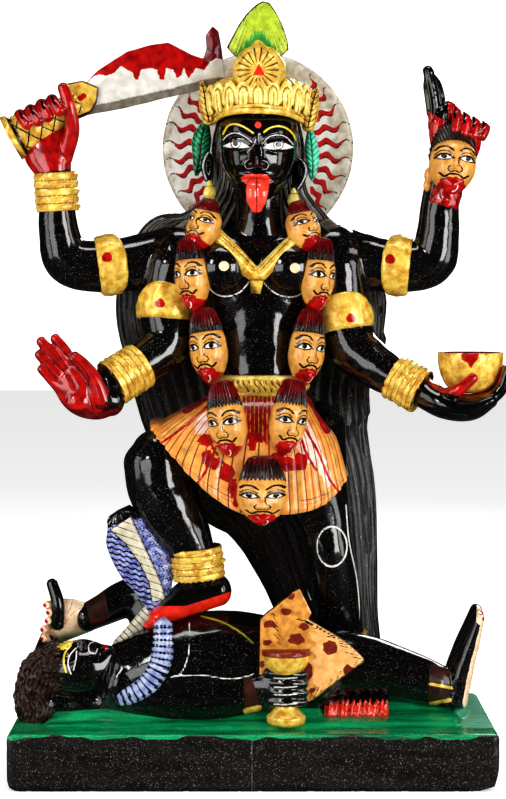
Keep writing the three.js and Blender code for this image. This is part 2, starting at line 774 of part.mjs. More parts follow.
// Draws corners together, the flattest places first, until no more than the given number of facets is left.
// The surface stays closed: a pull that would pinch it or turn a facet over is passed by.
function lighten(points, facets, most) {
  const round = points.map(() => new Set());
  const terms = points.map(() => [0, 1, 2, 3].map(() => [0, 0, 0, 0]));
  facets.forEach((facet, f) => {
    const plane = planeTerms(...facet.map((corner) => points[corner]));
    for (const corner of facet) {
      round[corner].add(f);
      terms[corner].forEach((row, i) => row.forEach((_, j) => (row[j] += plane[i][j])));
    }
  });
  const neighbours = (corner) =>
    new Set([...round[corner]].flatMap((f) => facets[f]).filter((other) => other !== corner));
  const facing = ([a, b, c]) =>
    new THREE.Vector3().crossVectors(points[b].clone().sub(points[a]), points[c].clone().sub(points[a]));

  // Whether the corner from can be drawn onto the corner to
  function fits(from, to) {
    const beside = neighbours(to);
    if ([...neighbours(from)].filter((corner) => beside.has(corner)).length !== 2) return false;
    return [...round[from]].every((f) => {
      if (facets[f].includes(to)) return true;
      const before = facing(facets[f]);
      const after = facing(facets[f].map((corner) => (corner === from ? to : corner)));
      const turned = after.dot(before) > LEAST_TURN * after.length() * before.length();
      return turned && after.length() > LEAST_FACET;
    });
  }

  function draw(from, to) {
    let gone = 0;
    for (const f of round[from]) {
      if (facets[f].includes(to)) {
        facets[f].forEach((corner) => corner !== from && round[corner].delete(f));
        facets[f] = null;
        gone++;
      } else {
        facets[f] = facets[f].map((corner) => (corner === from ? to : corner));
        round[to].add(f);
      }
    }
    round[from].clear();
    terms[to].forEach((row, i) => row.forEach((_, j) => (row[j] += terms[from][i][j])));
    return gone;
  }

  let left = facets.length;
  while (left > most) {
    const pulls = [];
    points.forEach((point, from) => {
      for (const to of neighbours(from)) {
        const length = point.distanceToSquared(points[to]);
        pulls.push({ from, to, cost: offPlanes(terms[from], points[to]) + SHORT_FIRST * length });
      }
    });
    pulls.sort((one, other) => one.cost - other.cost);
    const still = new Set();
    const before = left;
    for (const { from, to } of pulls.slice(0, Math.ceil(pulls.length * PULLS_A_ROUND))) {
      if (left <= most) break;
      if (still.has(from) || still.has(to) || !fits(from, to)) continue;
      neighbours(from).forEach((corner) => still.add(corner));
      still.add(from);
      left -= draw(from, to);
    }
    if (left === before) break;
  }
  return facets.filter((facet) => facet);
}

// A solid's surface as a three.js geometry with no more than the given number of facets
function surface(made, most) {
  const mesh = made.getMesh();
  const bare = new THREE.BufferGeometry();
  bare.setAttribute("position", new THREE.BufferAttribute(mesh.vertProperties, mesh.numProp));
  bare.setIndex(new THREE.BufferAttribute(mesh.triVerts, 1));
  const welded = mergeVertices(bare, WELD);
  const place = welded.attributes.position;
  const count = [...Array(place.count).keys()];
  const points = count.map((i) => new THREE.Vector3().fromBufferAttribute(place, i));
  const corners = [...welded.index.array];
  const facets = [...Array(corners.length / 3).keys()]
    .map((f) => corners.slice(3 * f, 3 * f + 3))
    .filter(([a, b, c]) => a !== b && b !== c && c !== a);
  const kept = lighten(points, facets, most).flat();
  const loose = new THREE.BufferGeometry().setFromPoints(kept.map((corner) => points[corner]));
  const geometry = mergeVertices(loose);
  geometry.computeVertexNormals();
  return geometry;
}

const figure = new THREE.Group();
const stone = new THREE.MeshStandardMaterial({ color: 0x0b0b0c, roughness: 0.18, metalness: 0 });
const carved = new THREE.Mesh(surface(join(forms.map((form) => form())), FACETS), stone);
carved.name = "kali_figure";
figure.add(carved);

export default figure;
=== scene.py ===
import math
from collections import namedtuple

import bmesh
import bpy
import numpy as np
from mathutils import Matrix, Vector

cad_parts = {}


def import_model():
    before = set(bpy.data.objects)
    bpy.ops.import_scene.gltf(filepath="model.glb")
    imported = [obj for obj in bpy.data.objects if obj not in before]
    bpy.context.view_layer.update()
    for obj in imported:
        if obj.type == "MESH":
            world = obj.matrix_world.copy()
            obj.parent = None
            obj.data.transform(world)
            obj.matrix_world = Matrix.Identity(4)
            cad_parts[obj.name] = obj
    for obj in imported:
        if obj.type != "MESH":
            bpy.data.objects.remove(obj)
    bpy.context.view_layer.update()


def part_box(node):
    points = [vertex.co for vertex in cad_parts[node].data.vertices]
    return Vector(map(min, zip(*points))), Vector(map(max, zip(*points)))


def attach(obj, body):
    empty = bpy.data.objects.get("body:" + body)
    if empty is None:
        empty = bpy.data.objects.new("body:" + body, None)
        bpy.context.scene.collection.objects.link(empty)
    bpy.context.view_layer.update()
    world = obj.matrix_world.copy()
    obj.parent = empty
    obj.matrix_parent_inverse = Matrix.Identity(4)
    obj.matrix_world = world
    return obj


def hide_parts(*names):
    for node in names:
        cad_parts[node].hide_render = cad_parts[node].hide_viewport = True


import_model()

# The solid's sizes in metres, then its carver's grid: x steps to the viewer's right, y steps back and
# z steps up, with how far back the figure stands and the heights of the ground and the crest's tip
PLINTH_WIDTH = 0.376
PLINTH_DEPTH = 0.170
PLINTH_HEIGHT = 0.044
HALO_RADIUS = 0.0775
HALO_THICKNESS = 0.011
BOWL_RADIUS = 0.0255
BOWL_HEIGHT = 0.032
BOWL_HOLLOW = 0.020
BOWL_WALL = 0.0035
BLADE_THICKNESS = 0.009
CREST_THICKNESS = 0.013
STANCE_BACK = 19
GROUND = 10
CREST_TIP = 717.8
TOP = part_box("kali_figure")[1].z
STEP = (TOP - PLINTH_HEIGHT) / (CREST_TIP - GROUND)
GRID_ZERO = np.array([0, STANCE_BACK * STEP, PLINTH_HEIGHT - GROUND * STEP])
HALO_CENTRE = [5, 48, 576]
BOWL_BASE = [212, -56, 332]
FRONT = np.array([0, -1, 0])
UP = np.array([0, 0, 1])

# The photo's viewpoint
PHOTO_WIDTH, PHOTO_HEIGHT = 506, 799
EYE = Vector((0, -1.6849, 0.3875))
AIM = Vector((0, 0.0152, 0.2942))
SENSOR = 36
FOCAL = 2125 / PHOTO_HEIGHT * SENSOR


def at(places):
    """World places, in metres, of places on the grid."""
    return GRID_ZERO + np.asarray(places, float) * STEP


def steps(places):
    """Places on the grid of world places."""
    return (np.asarray(places, float) - GRID_ZERO) / STEP


def seen(places):
    """Columns and rows of the photo's frame where world places show from the photo's viewpoint."""
    forward = np.array((AIM - EYE).normalized())
    right = np.array([1, 0, 0])
    above = np.cross(right, forward)
    off = places - np.array(EYE)
    scale = FOCAL / SENSOR * PHOTO_HEIGHT / (off @ forward)
    return np.stack([PHOTO_WIDTH / 2 + off @ right * scale, PHOTO_HEIGHT / 2 - off @ above * scale], 1)


def spot(column, row, depth):
    """The place on the grid, so many steps back, that shows at a column and row of the photo."""
    forward = (AIM - EYE).normalized()
    right = Vector((1, 0, 0))
    above = right.cross(forward)
    across, down = column - PHOTO_WIDTH / 2, row - PHOTO_HEIGHT / 2
    ray = forward * FOCAL / SENSOR * PHOTO_HEIGHT + right * across - above * down
    share = (at([0, depth, 0])[1] - EYE.y) / ray.y
    return list(steps(EYE + ray * share))


# Mesh tools


def marked(rows):
    """Stations on the grid, of rows [column, row, depth, half width, half depth]."""
    return [[*spot(column, row, depth), *sizes] for column, row, depth, *sizes in rows]


def at_depth(line, depth):
    """The places, so many steps back, that show at a line's columns and rows."""
    return [spot(column, row, depth) for column, row in line]


def places_of(mesh):
    flat = np.empty(3 * len(mesh.vertices), np.float32)
    mesh.vertices.foreach_get("co", flat)
    return flat.reshape(-1, 3).astype(float)


def normals_of(mesh):
    flat = np.empty(3 * len(mesh.vertices), np.float32)
    mesh.vertices.foreach_get("normal", flat)
    return flat.reshape(-1, 3).astype(float)


def move_to(mesh, places):
    mesh.vertices.foreach_set("co", np.ascontiguousarray(places, np.float32).ravel())
    mesh.update()
    return mesh


def spots_of(mesh):
    """A mesh's corners on the grid."""
    return steps(places_of(mesh))


def marks_of(mesh):
    """Where a mesh's corners show in the photo."""
    return seen(places_of(mesh))


def finished(shape, mesh=None):
    """A mesh from a bmesh, with its faces pointing out."""
    bmesh.ops.recalc_face_normals(shape, faces=shape.faces)
    mesh = mesh or bpy.data.meshes.new("form")
    shape.to_mesh(mesh)
    shape.free()
    return mesh


def facing_out(mesh):
    shape = bmesh.new()
    shape.from_mesh(mesh)
    return finished(shape, mesh)


def sewn(mesh):
    """A wrapped sheet welded along its edges."""
    shape = bmesh.new()
    shape.from_mesh(mesh)
    bpy.data.meshes.remove(mesh)
    rim = [corner for corner in shape.verts if corner.is_boundary]
    bmesh.ops.remove_doubles(shape, verts=rim, dist=1e-5)
    return finished(shape)


def sheet(columns, rows):
    """A flat grid, and the shares from 0 to 1 of its corners both ways."""
    shape = bmesh.new()
    bmesh.ops.create_grid(shape, x_segments=columns, y_segments=rows, size=0.5)
    mesh = finished(shape)
    across, along, _ = (places_of(mesh) + 0.5).T
    return mesh, across, along


def ball(sides, rows):
    """A ball of radius 1 about Z, wrapped from a grid and closed along its seam and at its poles."""
    mesh, around, down = sheet(sides, rows)
    turn, way = around * math.tau, down * math.pi
    return sewn(
        move_to(mesh, np.stack([np.sin(way) * np.cos(turn), np.sin(way) * np.sin(turn), np.cos(way)], 1))
    )


def smooth_line(points, share):
    """Places at shares from 0 to 1 of a centripetal Catmull-Rom line through points."""
    points = np.asarray(points, float)
    run = np.vstack([2 * points[0] - points[1], points, 2 * points[-1] - points[-2]])
    along = np.clip(share, 0, 1) * (len(points) - 1)
    first = np.minimum(along.astype(int), len(points) - 2)
    u = (along - first)[:, None]
    a, b, c, d = (run[first + k] for k in range(4))
    before, between, after = (
        np.maximum(np.sqrt(np.linalg.norm(q - p, axis=1)), 1e-9)[:, None]
        for p, q in ((a, b), (b, c), (c, d))
    )
    leave = between * ((b - a) / before - (c - a) / (before + between) + (c - b) / between)
    arrive = between * ((c - b) / between - (d - b) / (between + after) + (d - c) / after)
    cubic = 2 * b - 2 * c + leave + arrive
    square = -3 * b + 3 * c - 2 * leave - arrive
    return b + u * (leave + u * (square + u * cubic))


def smooth_values(values, share):
    """Values at shares from 0 to 1 of a run of numbers, passing smoothly through each."""
    run = np.concatenate([[2 * values[0] - values[1]], values, [2 * values[-1] - values[-2]]])
    along = np.clip(share, 0, 1) * (len(values) - 1)
    first = np.minimum(along.astype(int), len(values) - 2)
    u = along - first
    a, b, c, d = (run[first + k] for k in range(4))
    return b + 0.5 * u * (c - a + u * (2 * a - 5 * b + 4 * c - d + u * (3 * (b - c) + d - a)))


def unit(vectors):
    return vectors / np.linalg.norm(vectors, axis=1)[:, None]


# Share of a limb's rows that round off each end
CAP = 1 / 6


def limb(stations, sides=40, rows=48, tip=0.8, end=0.8, facing=FRONT, relief=None):
    """A body through stations [x, y, z, half width, half depth] with rounded ends. The half width lies
    across the line as it is seen from the facing side. relief(angle, share) scales the section."""
    mesh = ball(sides, rows)
    sphere = places_of(mesh)
    way = np.arccos(np.clip(sphere[:, 2], -1, 1)) / np.pi
    angle = np.arctan2(sphere[:, 1], sphere[:, 0])
    share = np.clip((way - CAP) / (1 - 2 * CAP), 0, 1)
    line = at([station[:3] for station in stations])
    nudge = 1e-3
    forward = unit(smooth_line(line, share + nudge) - smooth_line(line, share - nudge))
    side = unit(np.cross(forward, facing))
    out = np.cross(side, forward)
    width = STEP * smooth_values([station[3] for station in stations], share)
    depth = STEP * smooth_values([station[-1] for station in stations], share)
    swell = np.sin(np.clip(np.minimum(way, 1 - way) / CAP, 0, 1) * np.pi / 2)
    cap = np.minimum(width, depth) * np.sqrt(1 - swell**2) * np.where(way < 0.5, -tip, end)
    swell = swell * (relief(angle, share) if relief else 1)
    places = smooth_line(line, share) + forward * cap[:, None]
    places += side * (np.cos(angle) * width * swell)[:, None]
    places += out * (np.sin(angle) * depth * swell)[:, None]
    return facing_out(move_to(mesh, places))


def turning(turn):
    """Turns by degrees about Z, Y and X in that order."""
    about_x, about_y, about_z = (Matrix.Rotation(math.radians(turn[i]), 3, "XYZ"[i]) for i in range(3))
    return np.array(about_x @ about_y @ about_z)


def egg(centre, half_sizes, turn=(0, 0, 0), sides=32, rows=24):
    mesh = ball(sides, rows)
    shaped = places_of(mesh) * np.array(half_sizes) * STEP
    return facing_out(move_to(mesh, shaped @ turning(turn).T + at(centre)))


def finger(points, radius, facing=FRONT):
    """A finger or toe through points, tapering to its tip."""
    last = len(points) - 1
    stations = [[*point, radius * (1 - 0.25 * i / last), 0.9 * radius] for i, point in enumerate(points)]
    return limb(stations, 20, 24, facing=facing)


def turned(start, end, profile, sides=96):
    """A turned form about an axis between two places. The profile gives [share of the length, radius]."""
    outline = np.array([(profile[0][0], 0), *profile, (profile[-1][0], 0)])
    mesh = ball(sides, len(outline) - 1)
    sphere = places_of(mesh)
    row = np.rint(np.arccos(np.clip(sphere[:, 2], -1, 1)) / np.pi * (len(outline) - 1)).astype(int)
    share, radius = outline[row].T
    angle = np.arctan2(sphere[:, 1], sphere[:, 0])
    start, end = Vector(at(start)), Vector(at(end))
    spindle = np.stack(
        [radius * STEP * np.cos(angle), radius * STEP * np.sin(angle), share * (end - start).length], 1
    )
    upright = np.array((end - start).to_track_quat("Z", "Y").to_matrix())
    return facing_out(move_to(mesh, spindle @ upright.T + np.array(start)))


def curve(points, count):
    """So many places along a smooth line through points."""
    return smooth_line(points, np.linspace(0, 1, count))


def middle_of(rows, count):
    """So many marks along the middle of a form made of rows [column, row, depth, sizes]."""
    return curve([row[:2] for row in rows], count)


def filled(profile, count):
    """So many rows of a profile, with straight runs between its own."""
    return [[share, np.interp(share, *zip(*profile))] for share in np.linspace(0, 1, count)]


def share_between(mesh, start, end):
    """Each corner's share of the way from one place to another."""
    way = at(end) - at(start)
    return (places_of(mesh) - at(start)) @ way / (way @ way)


def hoop(points, thick, tall, sides=32, rows=360):
    """A closed band through places, so many steps thick outwards and tall upwards from its middle."""
    mesh, around, across = sheet(rows, sides)
    run = at([*points[-2:], *points, *points[:3]])
    share = (2 + around * len(points)) / (len(run) - 1)
    nudge = 1e-4
    forward = unit(smooth_line(run, share + nudge) - smooth_line(run, share - nudge))
    out = unit(np.cross(forward, UP))
    above = np.cross(out, forward)
    places = smooth_line(run, share)
    turn = across * math.tau
    for way, size, wave in ((out, thick, np.cos(turn)), (above, tall, np.sin(turn))):
        places += way * (np.sign(wave) * np.abs(wave) ** 0.7 * size * STEP)[:, None]
    return sewn(move_to(mesh, places))


def plate(outline, depth, thickness):
    """A plate of even thickness with the outline that the viewer sees."""
    shape = bmesh.new()
    face = shape.faces.new([shape.verts.new(at([x, depth, z])) for x, z in outline])
    bmesh.ops.translate(shape, vec=(0, -thickness / 2, 0), verts=shape.verts)
    grown = bmesh.ops.extrude_face_region(shape, geom=[face])["geom"]
    back = [part for part in grown if isinstance(part, bmesh.types.BMVert)]
    bmesh.ops.translate(shape, vec=(0, thickness, 0), verts=back)
    return finished(shape)


def joined(forms):
    shape = bmesh.new()
    for form in forms:
        shape.from_mesh(form)
        bpy.data.meshes.remove(form)
    mesh = bpy.data.meshes.new("form")
    shape.to_mesh(mesh)
    shape.free()
    return mesh


def with_modifiers(mesh, modifiers, group=()):
    """A mesh with modifiers [kind, settings] applied, which may name its group of corners."""
    blank = bpy.data.objects.new("blank", mesh)
    bpy.context.scene.collection.objects.link(blank)
    if len(group):
        blank.vertex_groups.new(name="group").add(group, 1, "REPLACE")
    for kind, settings in modifiers:
        modifier = blank.modifiers.new(kind, kind)
        for name, value in settings.items():
            setattr(modifier, name, value)
    evaluated = blank.evaluated_get(bpy.context.evaluated_depsgraph_get())
    made = bpy.data.meshes.new_from_object(evaluated)
    bpy.data.objects.remove(blank)
    bpy.data.meshes.remove(mesh)
    return made


# The grain of a carved skin: the size of its facets in metres
HAND_GRAIN = 0.0008
FINE_GRAIN = 0.0009
ARM_GRAIN = 0.0012
BODY_GRAIN = 0.0014
PLINTH_GRAIN = 0.0016


def carved(forms, grain, softening):
    """One closed skin over forms that run into each other, softened where they meet."""
    skin = ("REMESH", {"mode": "VOXEL", "voxel_size": grain, "adaptivity": 0})
    soft = ("SMOOTH", {"factor": 0.5, "iterations": softening})
    return with_modifiers(joined(forms), [skin, soft])


def swelled(mesh, height):
    """Moves a surface out along its normals by a height in steps."""
    return move_to(mesh, places_of(mesh) + normals_of(mesh) * (height * STEP)[:, None])


def drawn_near(mesh, height):
    """Moves a surface towards the photo's viewpoint by a height in steps."""
    places = places_of(mesh)
    return move_to(mesh, places + unit(np.array(EYE) - places) * (height * STEP)[:, None])


def ripple(places, size):
    """An uneven hand-worked swell between -1 and 1 with waves about size steps long."""
    x, y, z = (places / size * math.tau).T
    first = np.sin(x + 1.7 * np.sin(0.6 * y + 0.4 * z)) * np.sin(0.8 * y + 1.3 * np.sin(0.7 * z))
    second = np.sin(0.9 * z + 1.9 * np.sin(0.5 * x - 0.6 * y))
    return 0.5 * (first + second)


def rippled(mesh, height, size):
    """A surface with an uneven swell so many steps high, in waves about size steps long."""
    return swelled(mesh, height * ripple(spots_of(mesh), size))


def bell(distance, width):
    return np.exp(-((distance / width) ** 2))


def rise(value, low, high):
    """A soft step from 0 to 1."""
    share = np.clip((value - low) / (high - low), 0, 1)
    return share * share * (3 - 2 * share)


# Painted shapes: each gives how far inside the shape a point lies, and is negative outside


def off_line(points, line):
    """Distance of points from a line of straight runs."""
    line = np.asarray(line, float)
    nearest = np.full(len(points), np.inf)
    for start, stop in zip(line[:-1], line[1:]):
        run = stop - start
        share = np.clip((points - start) @ run / max(run @ run, 1e-9), 0, 1)
        nearest = np.minimum(nearest, np.linalg.norm(points - start - share[:, None] * run, axis=1))
    return nearest


def stroke(points, line, width):
    """A brush stroke along a smooth line."""
    return width / 2 - off_line(points, curve(line, 6 * (len(line) - 1) + 1))


def strokes(points, lines, width):
    return either(*(stroke(points, line, width) for line in lines))


def brushed(points, lines):
    """Strokes along lines that each have a width of their own."""
    return either(*(stroke(points, line, width) for line, width in lines))


def dots(points, centres, radius):
    return either(*(radius - np.linalg.norm(points - centre, axis=1) for centre in centres))


def patch(points, outline):
    """The inside of a closed outline."""
    closed = np.asarray([*outline, outline[0]], float)
    x, y = points.T
    inside = np.zeros(len(points), bool)
    for (x0, y0), (x1, y1) in zip(closed[:-1], closed[1:]):
        if y0 != y1:
            inside ^= ((y0 > y) != (y1 > y)) & (x < (x1 - x0) * (y - y0) / (y1 - y0) + x0)
    return np.where(inside, 1, -1) * off_line(points, closed)


def patches(points, outlines):
    return either(*(patch(points, outline) for outline in outlines))


def oval(points, centre, half_sizes):
    half_sizes = np.asarray(half_sizes, float)
    return (1 - np.linalg.norm((points - np.asarray(centre)) / half_sizes, axis=1)) * half_sizes.min()


def ovals(points, shapes):
    return either(*(oval(points, centre, half_sizes) for centre, half_sizes in shapes))


def either(*shapes):
    return np.maximum.reduce(shapes)


def both(*shapes):
    return np.minimum.reduce(shapes)


def lay(mesh, coat, *insides):
    """Keeps on a mesh how far each corner lies inside a coat of paint, which fills what shapes share."""
    attribute = mesh.attributes.get(coat) or mesh.attributes.new(coat, "FLOAT", "POINT")
    attribute.data.foreach_set("value", np.clip(both(*insides), -9, 9).astype(np.float32))
    return mesh


# Paints and stone

Paint = namedtuple("Paint", "colour shade roughness metal", defaults=[0])
Finish = namedtuple("Finish", "material coats")
STONE = Paint("#0c0a0a", "#141212", 0.08)
PLINTH_STONE = Paint("#141211", "#25211e", 0.36)
HAIR_STONE = Paint("#1a0f0b", "#090605", 0.42)
HAIR = Paint("#1a0f0b", "#090605", 0.26)
GOLD = Paint("#f3d56c", "#c48f30", 0.26, 0.2)
PALE_GOLD = Paint("#f6ec9c", "#d0b23e", 0.32, 0.1)
RED = Paint("#b71714", "#820e0f", 0.16)
DARK_RED = Paint("#7a0d12", "#4f080c", 0.2)
CORAL = Paint("#f0553f", "#d83a30", 0.18)
ORANGE_RED = Paint("#e2381f", "#c0281a", 0.2)
WHITE = Paint("#eceae5", "#cfccc6", 0.3)
PALE = Paint("#f4f1ea", "#e2ddd3", 0.4)
CREAM = Paint("#f0d9b5", "#dfb896", 0.35)
YELLOW = Paint("#e8d02c", "#cdae20", 0.3)
OCHRE = Paint("#dda857", "#bd8440", 0.3)
BLACK = Paint("#0a0808", "#161212", 0.25)
BROWN = Paint("#4a2114", "#2a120b", 0.35)
SILVER = Paint("#e6e2da", "#cdc9c0", 0.36, 0.2)
DULL_SILVER = Paint("#948c7f", "#6f675a", 0.45, 0.3)
LIME = Paint("#c2d23c", "#98ae30", 0.34)
LEAF = Paint("#45b04a", "#2a8a3c", 0.34)
EMERALD = Paint("#12a068", "#05633f", 0.26)
MINT = Paint("#7fe8cd", "#52c4a6", 0.3)
ORANGE = Paint("#e7a558", "#d98a3f", 0.32)
LAVENDER = Paint("#8688c8", "#4c4f92", 0.32)
ICE = Paint("#b4bedd", "#7683b4", 0.3)
BONE = Paint("#d6cfb8", "#b9b29b", 0.32)
OLIVE = Paint("#a8a53a", "#87842c", 0.35)
BLUSH = Paint("#f0d8cd", "#dfb3a2", 0.32)
SANDY = Paint("#ded6c6", "#b1a693", 0.5, 0.1)
FLAME_RED = Paint("#cf2420", "#a51a1c", 0.3)
RUST = Paint("#8a2c16", "#641f10", 0.3)
TAN = Paint("#dea14c", "#a86a24", 0.32)
# A paler green, painted as sheen on the plinth's top
GREEN_SHEEN = Paint("#5fb394", "#3c9a76", 0.32)
ROSE = Paint("#e8a08c", "#dd7a68", 0.3)
PALE_OCHRE = Paint("#e8b878", "#d39a56", 0.36)
BROWN_HAIR = Paint("#3d251b", "#1b100c", 0.36)


def wired(tree, made, inputs):
    """A node with its inputs set to values or linked to sockets."""
    for name, value in inputs.items():
        if isinstance(value, bpy.types.NodeSocket):
            tree.links.new(value, made.inputs[name])
        else:
            made.inputs[name].default_value = value
    return made


def node(tree, kind, inputs, **settings):
    made = tree.nodes.new("ShaderNode" + kind)
    for name, value in settings.items():
        setattr(made, name, value)
    return wired(tree, made, inputs)


def linear(code):
    """Scene colour of a colour code such as #c81020."""
    shares = [int(code[i : i + 2], 16) / 255 for i in (1, 3, 5)]
    return (*(s / 12.92 if s <= 0.04045 else ((s + 0.055) / 1.055) ** 2.4 for s in shares), 1)


def noise(tree, place, scale, detail, stretch=(1, 1, 1)):
    stretched = node(tree, "Mapping", {"Vector": place, "Scale": stretch}).outputs[0]
    made = node(tree, "TexNoise", {"Vector": stretched, "Scale": scale, "Detail": detail})
    return made.outputs["Fac"]


def ramped(tree, value, low, high, to_low=0.0, to_high=1.0):
    settings = {"Value": value, "From Min": low, "From Max": high, "To Min": to_low, "To Max": to_high}
    return node(tree, "MapRange", settings, clamp=True).outputs["Result"]


def blended(tree, share, first, second):
    """A mix of two colours, each a code or a socket."""
    first, second = (linear(colour) if isinstance(colour, str) else colour for colour in (first, second))
    return node(tree, "Mix", {0: share, 6: first, 7: second}, data_type="RGBA").outputs[2]


def balanced(tree, share, first, second):
    """A mix of two numbers, each a number or a socket."""
    return node(tree, "Mix", {0: share, 2: first, 3: second}, data_type="FLOAT").outputs[0]


# Waves per metre of the paint's streaks, its wavering edges, the stone's grains, the wear and the bumps
STREAKS = 160
WAVERS = 900
GRAINS = 1300
WEAR = 300
BUMPS = 420
GRAIN_COLOUR = "#b9b2a6"
COAT_ROUGHNESS = 0.06
BUMP_DEPTH = 0.0006


def painted(name, ground, coats, brush=(1, 1, 1), specks=0.0, grain=0.15, coat=0.5):
    """A material of a ground paint or the bare stone, with coats of paint laid where a mesh says. The
    brush stretch runs the streaks one way, and specks sets how many pale grains show in the stone."""
    material = bpy.data.materials.new(name)
    material.use_nodes = True
    tree = material.node_tree
    place = node(tree, "TexCoord", {}).outputs["Object"]
    streaks = ramped(tree, noise(tree, place, STREAKS, 5, brush), 0.36, 0.66)
    wander = noise(tree, place, WAVERS, 2)
    colour = blended(tree, streaks, ground.colour, ground.shade)
    rough, metal = ground.roughness, ground.metal
    if specks:
        grains = ramped(tree, noise(tree, place, GRAINS, 1), 0.72 - specks, 0.76 - specks, 0, 0.7)
        colour = blended(tree, grains, colour, GRAIN_COLOUR)
    for attribute, paint in coats.items():
        inside = node(tree, "Attribute", {}, attribute_name=attribute).outputs["Fac"]
        wavering = node(tree, "Math", {0: wander, 1: 1.1, 2: inside}, operation="MULTIPLY_ADD").outputs[0]
        share = ramped(tree, wavering, 0.35, 0.75)
        colour = blended(tree, share, colour, blended(tree, streaks, paint.colour, paint.shade))
        rough = balanced(tree, share, rough, paint.roughness)
        metal = balanced(tree, share, metal, paint.metal)
    worn = ramped(tree, noise(tree, place, WEAR, 4), 0.3, 0.75, -0.05, 0.1)
    rough = node(tree, "Math", {0: worn, 1: rough}, operation="ADD").outputs[0]
    uneven = noise(tree, place, BUMPS, 4, brush)
    bump = node(tree, "Bump", {"Height": uneven, "Strength": grain, "Distance": BUMP_DEPTH})
    wired(
        tree,
        tree.nodes["Principled BSDF"],
        {
            "Base Color": colour,
            "Roughness": rough,
            "Metallic": metal,
            "Coat Weight": coat,
            "Coat Roughness": COAT_ROUGHNESS,
            "Normal": bump.outputs[0],
        },
    )
    return Finish(material, list(coats))


# How much of a mesh's facets is left, and how near a coat's edge they are all kept
FACETS_LEFT = 0.24
PAINT_EDGE = 0.2


def thinned(mesh):
    """A mesh with fewer facets, which keeps all those along the edges of its coats of paint."""
    ends = np.empty(2 * len(mesh.edges), np.int32)
    mesh.edges.foreach_get("vertices", ends)
    ends = ends.reshape(-1, 2)
    kept = np.zeros(len(mesh.vertices), bool)
    for attribute in mesh.attributes:
        if attribute.domain == "POINT" and attribute.data_type == "FLOAT":
            inside = np.empty(len(mesh.vertices), np.float32)
            attribute.data.foreach_get("value", inside)
            sides = inside[ends]
            kept[ends[sides[:, 0] * sides[:, 1] <= 0]] = True
            kept |= np.abs(inside) < PAINT_EDGE
    settings = {"ratio": FACETS_LEFT, "vertex_group": "group"}
    return with_modifiers(mesh, [("DECIMATE", settings)], np.flatnonzero(~kept).tolist())


def show(name, mesh, finish):
    """Puts a finished mesh in the scene as a piece of the figure, with every coat that its finish has."""
    mesh = thinned(mesh)
    piece = bpy.data.objects.new(name, mesh)
    piece.vertex_groups.clear()
    bpy.context.scene.collection.objects.link(piece)
    mesh.materials.clear()
    mesh.materials.append(finish.material)
    for coat in finish.coats:
        if coat not in mesh.attributes:
            lay(mesh, coat, np.full(len(mesh.vertices), -9))
    mesh.polygons.foreach_set("use_smooth", np.ones(len(mesh.polygons), bool))
    mesh.update()
    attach(piece, "root")
    return piece


# The plinth and the ground


def plinth():
    """The block's foot with worn edges and the low ground that the figures lie on."""
    shape = bmesh.new()
    middle = Matrix.Translation((0, 0, PLINTH_HEIGHT / 2))
    size = Matrix.Diagonal((PLINTH_WIDTH, PLINTH_DEPTH, PLINTH_HEIGHT, 1))
    bmesh.ops.create_cube(shape, size=1, matrix=middle @ size)
    bmesh.ops.bevel(
        shape, geom=shape.edges, offset=0.0035, segments=3, affect="EDGES", profile=0.5, material=-1
    )
    ground = [
        limb([[-196, -18, 10, 7, 70], [-60, -22, 10, 9, 76], [60, -22, 10, 9, 76], [196, -18, 10, 9, 66]]),
        limb([[30, -10, 12, 16, 44], [120, -6, 12, 20, 48], [200, -4, 10, 16, 46]]),
        limb([
            [-188, -40, 12, 16, 34], [-120, -42, 14, 20, 40], [-40, -36, 14, 20, 46], [60, -30, 14, 18, 44]
        ]),
    ]
    mesh = carved([finished(shape), *ground], PLINTH_GRAIN, 2)
    swelled(mesh, plinth_wear(spots_of(mesh), normals_of(mesh)))
    places = places_of(mesh)
    places[:, 2] = np.where(places[:, 2] < 0.0006, 0, places[:, 2])
    move_to(mesh, places)
    spots = steps(places)
    over_edge = 3 + 2.2 * ripple(spots, 70) + 1.2 * ripple(spots[:, ::-1], 23)
    above = spots[:, 2] - (GROUND - over_edge)
    lay(mesh, "green", above)
    # Paler green at the right back of the top is painted sheen, where the green paint catches the light
    lay(mesh, "green_sheen", (spots[:, 0] - 200 - 10 * ripple(spots, 30)) / 6, spots[:, 1] + 90, above)
    seam = (spots[:, 0] + 1) ** 2 / 0.5
    return lay(mesh, "seam", 0.25 - seam, GROUND - 4 - spots[:, 2], -95 - spots[:, 1])


def plinth_wear(spots, normals):
    """Saw marks, knocks along the edges and the broken corner at the viewer's right."""
    half_width, half_depth = PLINTH_WIDTH / 2 / STEP, PLINTH_DEPTH / 2 / STEP
    top = GROUND - spots[:, 2]
    low = spots[:, 2] - (GROUND - PLINTH_HEIGHT / STEP)
    beside = half_width - np.abs(spots[:, 0])
    before = half_depth - np.abs(spots[:, 1] + STANCE_BACK)
    near = np.sort(np.abs(np.stack([top, low, beside, before])), 0)[1]
    knocks = np.maximum(0, ripple(spots, 26) + 0.6 * ripple(spots[:, ::-1], 9) - 0.2)
    corner = bell(np.hypot(half_width - spots[:, 0], low), 13) * (normals[:, 2] < 0.7)
    corner += 0.5 * bell(np.hypot(half_width + spots[:, 0], low), 7) * (normals[:, 2] < 0.7)
    wear = 0.1 * ripple(spots, 15) - 2.2 * knocks * bell(near, 3) - 4.5 * corner
    return np.where(spots[:, 2] < GROUND + 1, np.minimum(wear, 0), 0.3 * ripple(spots, 24))


# Kali's body


